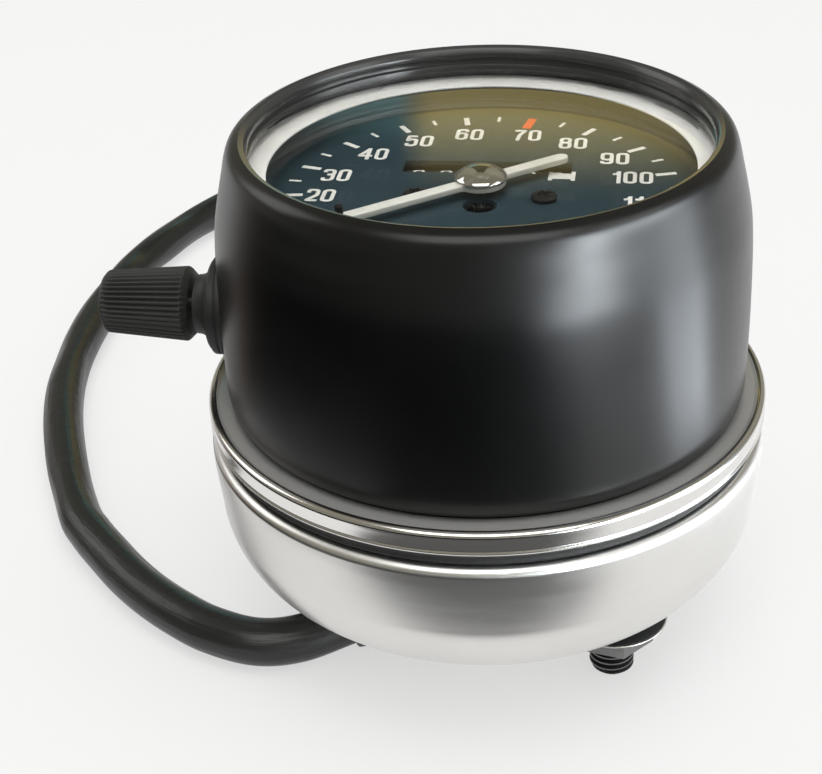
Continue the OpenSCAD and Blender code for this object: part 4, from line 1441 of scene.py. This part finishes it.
    def bowl(self) -> None:
        """Makes the spun bowl with its holes."""
        base, wall, edge = BOWL_Z, BOWL_WALL, self.cup_corner
        corner, lip = self.ring_r - 0.6 - edge, self.lip_z
        s, b, z = self.shoulder, self.bend, self.band_z
        inner, bore = self.neck_out - wall, NIPPLE_R + CLEAR
        outline = ([(bore, base)] + arc(corner, base + edge, edge, -90, 0, 28)
                   + [(s, z - b - 2.5)] + arc(s - b, z - b - 0.2, b, 0, 78, 12)
                   + rounded([(self.neck_out + 0.3, z - 0.25, 0), (self.neck_out, z, 0.2),
                              (self.neck_out, lip, 0)], 3, False)
                   + [(inner, lip), (inner, z - 0.6)] + arc(s - b, z - b - 0.2, b - wall, 80, 0, 8)
                   + [(s - wall, z - b - 2.5)] + arc(corner, base + edge, edge - wall, 0, -90, 20)
                   + [(bore, base + wall)])
        holes = Shape.rod(STUD_R + CLEAR, base - 2, base + 4, 40).copies(
            STUD_COUNT, STUD_CIRCLE, STUD_START)
        exit_hole = Shape.rod(ELBOW_R + CLEAR, base - 2, base + 4, 40).move(*CORD_EXIT, 0)
        bowl = Shape.lathe(outline, 240).carve(holes.join(exit_hole), Carve.CUT)
        place(bowl.piece("spun_bowl", BOWL, 40), "brushed_bowl", "lower_cup")


# Dial


@dataclass(frozen=True)
class Figures:
    """Figures of rounded strokes with one width, in shares of their height."""

    height: float
    thick: float
    stroke: float = 0.138
    half: float = 0.161
    gap: float = 0.09

    def strokes(self, sign: str) -> list[tuple[bool, list[tuple[float, float, float]]]]:
        """Gives the middle lines of a figure and whether each closes.

        Args:
            sign: The figure.

        Returns:
            The lines, with the radius at each corner.
        """
        a, b = self.half, 0.5 - self.stroke / 2
        ring = [(-a, -b, a), (a, -b, a), (a, b, a), (-a, b, a)]
        six = [(True, [(-a, -b, a), (a, -b, a), (a, 0.11, a), (-a, 0.11, a)]),
               (False, [(a, 0.25, 0), (a, b, 0.17), (-a, b, a), (-a, -0.15, 0)])]
        kinds = {
            "0": [(True, ring)],
            "1": [(False, [(0.07, -0.5, 0), (0.07, 0.5, 0)]),
                  (False, [(-0.14, 0.26, 0), (0.02, 0.28, 0.1), (0.07, 0.45, 0)])],
            "2": [(False, [(-a, 0.22, 0), (-a, b, a), (a, b, a), (a, 0.02, 0.2),
                           (-a, -b, 0.05), (a + 0.06, -b, 0)])],
            "3": [(False, [(-a, 0.24, 0), (-a, b, a), (a, b, a), (a, 0.04, 0.15),
                           (-0.06, 0.04, 0)]),
                  (False, [(-0.06, 0.04, 0), (a, 0.04, 0.15), (a, -b, a), (-a, -b, a),
                           (-a, -0.24, 0)])],
            "4": [(False, [(0.1, -0.5, 0), (0.1, 0.5, 0)]),
                  (False, [(0.1, 0.44, 0), (-0.21, -0.18, 0.03), (0.26, -0.18, 0)])],
            "5": [(False, [(a, b, 0), (-0.14, b, 0.02), (-0.17, 0.0, 0.03), (-0.07, 0.13, 0.1),
                           (a, 0.13, a), (a, -b, a), (-a, -b, a), (-a, -0.24, 0)])],
            "6": six,
            "7": [(False, [(-a - 0.05, b, 0), (a, b, 0.03), (-0.02, 0.0, 0.3), (-0.07, -0.5, 0)])],
            "8": [(True, [(-a, -b, a), (a, -b, a), (a, 0.04, 0.16), (-a, 0.04, 0.16)]),
                  (True, [(0.01 - a, 0.04, 0.15), (a - 0.01, 0.04, 0.15), (a - 0.01, b, a),
                          (0.01 - a, b, a)])],
            "9": [(closed, [(-x, -y, r) for x, y, r in line]) for closed, line in six],
        }
        return kinds[sign]

    def draw(self, sign: str) -> Shape:
        """Draws one figure flat round the origin."""
        whole, h = Shape(), self.height
        for index, (closed, line) in enumerate(self.strokes(sign)):
            path = [(x * h, y * h) for x, y in rounded(line, 6, closed)]
            whole.join(Shape.ribbon(path, self.stroke * h, self.thick + 0.004 * index, closed))
        return whole

    def write(self, words: str) -> Shape:
        """Writes figures side by side, centred on the origin."""
        row, at = Shape(), 0.0
        for sign in words:
            one = self.draw(sign)
            low, wide = one.span()
            row.join(one.move(at - low, 0, 0))
            at += wide + self.gap * self.height
        return row.move((self.gap * self.height - at) / 2, 0, 0)


@dataclass
class Dial:
    """Printing, screws and stop pin on the dial plate."""

    face: float = 82.8
    plate_r: float = 40.1
    plate_t: float = 0.8
    windows: dict[float, Point] = field(default_factory=lambda: {
        14.8: (7.9, 13.0), 9.9: (-20.2, -16.0)})
    print_t: float = 0.06
    per_mile: float = 2.12
    first: int = 10
    middle: int = 65
    last: int = 120
    red: int = 70
    figure_r: float = 25.8
    figure_h: float = 5.0
    nudges: dict[int, Point] = field(default_factory=lambda: {
        10: (-1.5, -1.5), 20: (-1.6, -0.5), 30: (-1.2, -1.3), 40: (-0.5, 0.0), 70: (1.2, 0.0),
        80: (0.8, 0.0), 90: (1.5, -0.3), 100: (0.6, 0.0), 110: (1.5, -1.0)})
    tick_out: float = 34.1
    major_tick: Point = (30.5, 1.0)
    minor_tick: Point = (31.9, 0.62)
    red_tick: Point = (29.2, 1.6)
    bore_r: float = 1.3
    hole_r: float = 2.9
    hole_at: Point = (0.4, -5.7)
    mark_x: Point = (11.0, 15.6)
    mark_bar: Point = (5.9, 8.1)
    mark_low: float = 5.2
    mark_high: Point = (8.8, 9.0)
    serif: float = 0.7
    screw_at: Point = (10.9, -2.65)
    screw_r: float = 2.2
    screw_core: float = 1.2
    screw_len: float = 6.8
    screw_side: float = 0.55
    screw_dome: float = 0.65
    recess: Point = (1.25, 0.24)
    stop_h: float = 5.6
    stop_r: float = 0.7
    stop_circle: float = 28.0
    stop_angle: float = 221.9

    def build(self) -> None:
        """Cuts and prints the plate and fits the screws and the pin."""
        self.plate()
        self.scale()
        self.marks()
        self.screws()
        self.pin()

    def plate(self) -> None:
        """Cuts the plate with its windows and the round hole under the hub."""
        r, low, high = self.plate_r, self.face - self.plate_t, self.face
        edge = rounded([(r, low, 0), (r, high, 0.1), (self.bore_r, high, 0)], 2, False)
        plate = Shape.lathe([(self.bore_r, low), *edge], 144)
        cuts = Shape.rod(self.hole_r, low - 1, high + 1).move(*self.hole_at, 0)
        for half, (near, far) in self.windows.items():
            corners = [(-half, near, 0.3), (half, near, 0.3), (half, far, 0.3), (-half, far, 0.3)]
            cuts.join(Shape.prism(rounded(corners, 3), low - 1, high + 1))
        place(plate.carve(cuts, Carve.CUT).piece("dial_plate", DIAL_WITH_PAINTED_SHEEN, 30), "dial_face",
              "dial")

    def angle(self, speed: float) -> float:
        """Gives the direction of a speed on the scale in degrees from +X."""
        return 90 - (speed - self.middle) * self.per_mile

    def scale(self) -> None:
        """Prints the figures and ticks."""
        figures, ticks = Shape(), Shape()
        signs = Figures(self.figure_h, self.print_t)
        for speed in range(self.first, self.last + 1, 10):
            x, y = polar(self.figure_r, self.angle(speed))
            aside, up = self.nudges.get(speed, (0.0, 0.0))
            figures.join(signs.write(str(speed)).move(x + aside, y + up, self.face))
        place(figures.piece("scale_figures", PRINT), "white_pointer")
        for speed in range(self.first, self.last + 1, 5):
            if speed != self.red:
                ticks.join(self.tick(speed, *(self.minor_tick if speed % 10 else self.major_tick)))
        place(ticks.piece("scale_ticks", PRINT), "white_pointer")
        red = self.tick(self.red, *self.red_tick)
        place(red.piece("scale_red_tick", RED), "white_pointer")

    def tick(self, speed: float, inner: float, width: float) -> Shape:
        """Prints one tick.

        Args:
            speed: Speed that it marks.
            inner: Radius of its inner end.
            width: Its width.

        Returns:
            The tick.
        """
        bar = Shape.block((inner, -width / 2, self.face),
                          (self.tick_out, width / 2, self.face + self.print_t), 0.015)
        return bar.turn(self.angle(speed))

    def marks(self) -> None:
        """Prints the mark beside the window."""
        (left, right), (low, high), foot = self.mark_x, self.mark_bar, self.mark_low
        a, b = left + self.serif, right - self.serif
        outline = [(left, foot), (a, foot), (a, low), (b, low), (b, foot), (right, foot),
                   (right, self.mark_high[1]), (b, self.mark_high[1]), (b, high), (a, high),
                   (a, self.mark_high[0]), (left, self.mark_high[0])]
        mark = Shape.prism(outline, self.face, self.face + self.print_t)
        place(mark.piece("window_mark", PRINT), "white_pointer")

    def screws(self) -> None:
        """Makes the two domed screws with crossed recesses."""
        r, core, base = self.screw_r, self.screw_core, self.face
        side, dome, end = base + self.screw_side, self.screw_dome, base - self.screw_len
        head = [(0, end), (core, end), (core, base), (r - 0.1, base), (r, base + 0.15), (r, side)]
        head += [(r * x, side + dome * y) for x, y in arc(0, 0, 1, 0, 90, 8)[1:-1]]
        screw = Shape.lathe(head + [(0, side + dome)], 48, closed=False)
        long, wide = self.recess
        low, high = base + 0.6, base + 3
        cross = Shape.block((-long, -wide, low), (long, wide, high), 0.08)
        other = Shape.block((-wide, -long, low), (wide, long, high), 0.08)
        screw.carve(cross.carve(other, Carve.ADD).turn(22), Carve.CUT)
        x, y = self.screw_at
        both = Shape().join(screw).move(x, y, 0).join(screw.turn(41).move(-x, y, 0))
        place(both.piece("dial_face_screws", BLACKENED), "black_screw", "dial_screws")

    def pin(self) -> None:
        """Makes the pin that the needle rests on."""
        r, low, top = self.stop_r, self.face - self.plate_t, self.face + self.stop_h
        pin = Shape.lathe([(0, low)] + rounded(
            [(r, low, 0), (r, top, 0.35), (0, top, 0)], 4, False), 24, closed=False)
        pin.move(*polar(self.stop_circle, self.stop_angle), 0)
        place(pin.piece("needle_stop_pin", BLACKENED), "black_screw", "stop_pin")


@dataclass
class Pointer:
    """Needle with its hub and chromed cap."""

    rest: float = 217.8
    low: float = 84.3
    thick: float = 1.0
    length: float = 33.0
    tail: float = 17.6
    half: float = 1.2
    tip_half: float = 0.4
    taper: float = 3.0
    hub_r: float = 4.3
    fillet: float = 1.0
    cap_r: float = 4.6
    cap_h: float = 2.3

    def build(self) -> None:
        """Makes the needle and its cap."""
        reach = self.fillet + self.half
        out = math.sqrt((self.hub_r + self.fillet) ** 2 - reach ** 2)
        meet = math.degrees(math.atan2(reach, out))
        upper = [(self.length, self.tip_half), (self.length - self.taper, self.half)]
        upper += arc(out, reach, self.fillet, 270, 180 + meet, 8)
        upper += arc(0, 0, self.hub_r, meet, 180 - meet, 16)[1:-1]
        upper += arc(-out, reach, self.fillet, -meet, -90, 8)
        upper += arc(self.half - self.tail, 0, self.half, 90, 180, 8)
        outline = upper + [(x, -y) for x, y in upper[::-1][1:]]
        needle = Shape.prism(outline, self.low, self.low + self.thick).bevel(0.1, 2, 60)
        place(needle.turn(self.rest).piece("white_needle", POINTER, 40),
              "white_pointer", "needle", body=Body.POINTER)
        base = self.low + self.thick
        dome_h = self.cap_h - 0.4
        ball = (self.cap_r ** 2 + dome_h ** 2) / (2 * dome_h)
        middle = base + self.cap_h - ball
        edge = math.degrees(math.asin(self.cap_r / ball))
        dome = arc(0, middle, ball, 90 - edge + 2, 90, 14)
        cap = [(0, base), (self.cap_r - 0.1, base), (self.cap_r, base + 0.1),
               (self.cap_r, base + 0.28), *dome[:-1], (0, base + self.cap_h)]
        place(Shape.lathe(cap, 96, closed=False).piece("chrome_hub_cap", CHROME),
              "chrome_cap", "hub_cap", body=Body.POINTER)


# Knob


@dataclass
class ResetKnob:
    """Ribbed reset knob and the rubber boot that its shaft turns in."""

    knob_x: float = -52.7
    boot_x: float = -48.7
    inner_r: float = 6.85
    outer_r: float = 5.75
    length: float = 16.7
    ribs: int = 40
    rib_h: float = 0.45
    rib_from: float = 1.5
    rib_step: float = 0.9
    rib_cuts: int = 16
    boot_r: float = 9.25
    neck_r: float = 5.4
    neck_len: float = 3.2
    shaft_r: float = 2.5
    shaft_in: float = 10.0
    bush_len: float = 7.0
    lift: float = 0.03

    def build(self) -> None:
        """Makes the knob and its boot."""
        self.knob()
        self.boot()

    def knob(self) -> None:
        """Turns the knob and presses its ribs in."""
        a, b, end = self.inner_r, self.outer_r, self.length
        outline = [(0, self.shaft_in), (self.shaft_r, self.shaft_in), (self.shaft_r, 0), *rounded(
            [(a - 1.6, 0, 0), (a - 1.2, 0, 0.2), (a, 1.2, 0.4), (b, end - 0.7, 0.5),
             (b - 0.8, end, 0.3), (b - 1.6, end, 0.2), (b - 1.9, end - 0.35, 0.2),
             (0, end - 0.35, 0)], 4, False)]
        knob = Shape.lathe(outline, self.ribs * 8, closed=False)
        knob.slice([self.rib_from + self.rib_step * k for k in range(self.rib_cuts)], Axis.Z)
        place(knob.bend(self.rib).along_x().move(self.knob_x, 0, KNOB_Z)
              .piece("ribbed_knob", KNOB, 50), "moulded_black", "reset_knob", body=Body.RESET)

    def rib(self, at: Vector) -> Vector:
        """Presses a point in between two ribs."""
        out = math.hypot(at.x, at.y)
        skin = self.inner_r + (self.outer_r - self.inner_r) * at.z / self.length
        if out < skin - 1.0:
            return at
        wave = 0.5 - 0.5 * math.cos(self.ribs * math.atan2(at.y, at.x))
        ends = min(max((at.z - 0.5) / 1.2, 0), 1) * min(max((self.length - 0.4 - at.z) / 1.0, 0), 1)
        scale = 1 - self.rib_h * ends * wave ** 1.5 / out
        return Vector((at.x * scale, at.y * scale, at.z))

    def boot(self) -> None:
        """Makes the boot with its flange laid on the shroud."""
        thick = -SHROUD_R - self.boot_x
        flare = self.boot_r - 0.9 - self.neck_r
        r, bore = self.boot_r, self.shaft_r + CLEAR
        outline = [(bore, -self.bush_len), (BUSH_R, -self.bush_len), (BUSH_R, 0)]
        outline += [(r * k / 8, 0) for k in range(5, 8)]
        outline += rounded([(r - 0.1, 0, 0), (r, 0.2, 0.1), (r, 0.75, 0.2), (r - 0.35, 0.95, 0.1),
                            (r - 0.2, 1.15, 0.1), (r - 0.2, thick - 0.3, 0.3),
                            (r - 0.75, thick, 0.2)], 3, False)
        outline += arc(self.neck_r + flare, thick + flare + 0.2, flare, -90, -180, 12)
        outline += rounded([(self.neck_r, thick + self.neck_len - 0.4, 0),
                            (self.neck_r, thick + self.neck_len, 0.3),
                            (bore, thick + self.neck_len, 0)], 3, False)
        boot = Shape.lathe(outline, 96).along_x().bend(self.saddle).move(0, 0, KNOB_Z)
        place(boot.piece("knob_boot", RUBBER), "black_rubber", "reset_bush")

    def saddle(self, at: Vector) -> Vector:
        """Lays the back of the flange on the round shroud."""
        thick = -SHROUD_R - self.boot_x
        skin = -math.sqrt((SHROUD_R + self.lift) ** 2 - at.y ** 2)
        share = min(-at.x / thick, 1)
        if at.x > 0:
            return Vector((at.x - SHROUD_R, at.y, at.z))
        rest = self.boot_x + min(at.x + thick, 0)
        return Vector((skin * (1 - share) + rest * share, at.y, at.z))


# Mounting


@dataclass
class Mounting:
    """Studs, washers, nuts and the cable nipple under the bowl."""

    pitch: float = 1.25
    stud_top: float = 14.5
    crest: float = 0.25
    washer_r: float = 9.7
    washer_bore: float = 4.1
    washer_t: float = 0.5
    soft_in: float = 0.25
    nut_flat: float = 6.5
    nut_h: float = 4.5
    nipple_bore: float = 2.05
    nipple_low: float = 3.0
    nipple_top: float = 24.8
    nipple_turns: int = 5

    def build(self) -> None:
        """Makes the fixings."""
        studs = self.at_studs(Shape.thread(STUD_R, self.pitch, 0, self.stud_top))
        # The crests take the lighter worn steel and the grooves the black: worn crests, with a
        # painted highlight on the crests and painted shade in the grooves.
        place(studs.piece("threaded_studs", BLACKENED, 28, WORN, self.is_crest), "black_screw",
              "mounting_studs")
        self.washers()
        self.nuts()
        self.nipple()

    def at_studs(self, one: Shape) -> Shape:
        """Repeats a shape at every stud."""
        return one.copies(STUD_COUNT, STUD_CIRCLE, STUD_START)

    def is_crest(self, at: Vector) -> bool:
        """Tells whether a point lies on the crest of a thread, which is lighter: worn, and with a
        painted highlight.
        """
        studs = [polar(STUD_CIRCLE, STUD_START + 360 * k / STUD_COUNT) for k in range(STUD_COUNT)]
        return min(math.hypot(at.x - x, at.y - y) for x, y in studs) > STUD_R - self.crest

    def washers(self) -> None:
        """Makes the rubber washers with the steel ones under them."""
        bore, r, top = self.washer_bore, self.washer_r, BOWL_Z
        middle, low, inset = top - self.washer_t / 2, top - self.washer_t, r - self.soft_in
        soft = rounded([(bore, middle, 0), (inset, middle, 0), (inset, top, 0.1),
                        (bore, top, 0)], 2)
        hard = rounded([(bore, low, 0), (r, low, 0.1), (r, middle, 0.1), (bore, middle, 0)], 3)
        washers = self.at_studs(Shape.lathe(soft, 72))
        place(washers.piece("soft_washers", SEAT), "black_rubber", "rubber_washers")
        plates = self.at_studs(Shape.lathe(hard, 72))
        place(plates.piece("plate_washers", STEEL), "plated_steel")

    def nuts(self) -> None:
        """Makes the thin nuts."""
        high = BOWL_Z - self.washer_t
        corner = self.nut_flat / math.cos(math.radians(30))
        flats = arc(0, 0, corner, 30, 330, 5)
        nuts = self.at_studs(Shape.prism(flats, high - self.nut_h, high).bevel(0.14, 2, 20))
        place(nuts.piece("thin_nuts", WORN, 25), "black_screw", "mounting_nuts")

    def nipple(self) -> None:
        """Makes the nipple with its thread for the cable's union nut."""
        r, bore, foot, top = NIPPLE_R, self.nipple_bore, self.nipple_low, self.nipple_top
        outline = [(bore, foot + 0.3), (bore + 0.35, foot), (r - 0.9, foot)]
        for k in range(self.nipple_turns):
            low = foot + 0.55 + self.pitch * k
            outline += [(r - 0.75, low), (r, low + 0.5), (r, low + 0.65), (r - 0.75, low + 1.15)]
        outline += rounded([(r, BOWL_Z - 2, 0), (r, BOWL_Z - 1.6, 0), (r + 2.5, BOWL_Z - 1.6, 0.4),
                            (r + 2.5, BOWL_Z, 0), (r, BOWL_Z, 0), (r, top, 0.4), (bore, top, 0)],
                           3, False)
        place(Shape.lathe(outline, 72).piece("cable_nipple", BRASS, 28), "brass",
              "drive_nipple")


# Movement


@dataclass
class Counters:
    """Figures on the odometer and trip drums."""

    radius: float = 7.0
    pitch: float = 4.9
    height: float = 74.4
    odometer_y: float = 10.45
    trip_y: float = -14.798
    figure_h: float = 3.2
    lean: float = 2.5
    trip_lean: float = -28.0
    trip_drums: int = 4
    print_t: float = 0.05
    bends: tuple[float, ...] = (-1.2, -0.6, 0, 0.6, 1.2)
    places: tuple[str, ...] = ("tenths", "units", "tens", "hundreds", "thousands",
                               "ten_thousands")

    def build(self) -> None:
        """Prints the figures of every drum."""
        for index, name in enumerate(self.places):
            middle = (len(self.places) - 1) / 2
            band = self.band((middle - index) * self.pitch, self.odometer_y, self.lean)
            place(band.piece(f"figures_{name}", PRINT), "white_pointer", body=name)
        trip = Shape()
        for index in range(self.trip_drums):
            x = (index - (self.trip_drums - 1) / 2) * self.pitch
            trip.join(self.band(x, self.trip_y, self.trip_lean))
        place(trip.piece("figures_trip", PRINT), "white_pointer", body=Body.TRIP)

    def band(self, x: float, y: float, lean: float) -> Shape:
        """Prints the ten figures round one drum.

        Args:
            x: Middle of the drum.
            y: Place of its axle.
            lean: How far the first figure stands from the top, in degrees.

        Returns:
            The figures.
        """
        whole, signs = Shape(), Figures(self.figure_h, self.print_t, stroke=0.16, half=0.25)
        for digit in range(10):
            one = signs.draw(str(digit)).slice(self.bends, Axis.Y)
            whole.join(one.bend(self.wrap).turn(-(lean + 36 * digit), Axis.X))
        return whole.move(x, y, self.height)

    def wrap(self, at: Vector) -> Vector:
        """Lays a flat point on the drum."""
        turn, out = at.y / self.radius, self.radius + at.z
        return Vector((at.x, out * math.sin(turn), out * math.cos(turn)))


class Movement:
    """Pieces of the frame that show as they are."""

    def dress(self) -> None:
        """Gives every node of the frame the finish of its slot."""
        for part in frame["record"]["subparts"]:
            node, finish = frame["nodes"][part["node"]], FRAME_FINISHES[part["material_slot"]]
            node.data.materials.clear()
            node.data.materials.append(finish.material())
            log.info("node %s: %s", node.name, finish.name)


def main() -> None:
    """Builds the scene, the camera and the harness first."""
    Studio().build()
    Harness().build()
    for part in (Case(), Dial(), Pointer(), ResetKnob(), Mounting(), Counters()):
        part.build()
    Movement().dress()


if __name__ == "__main__":
    main()
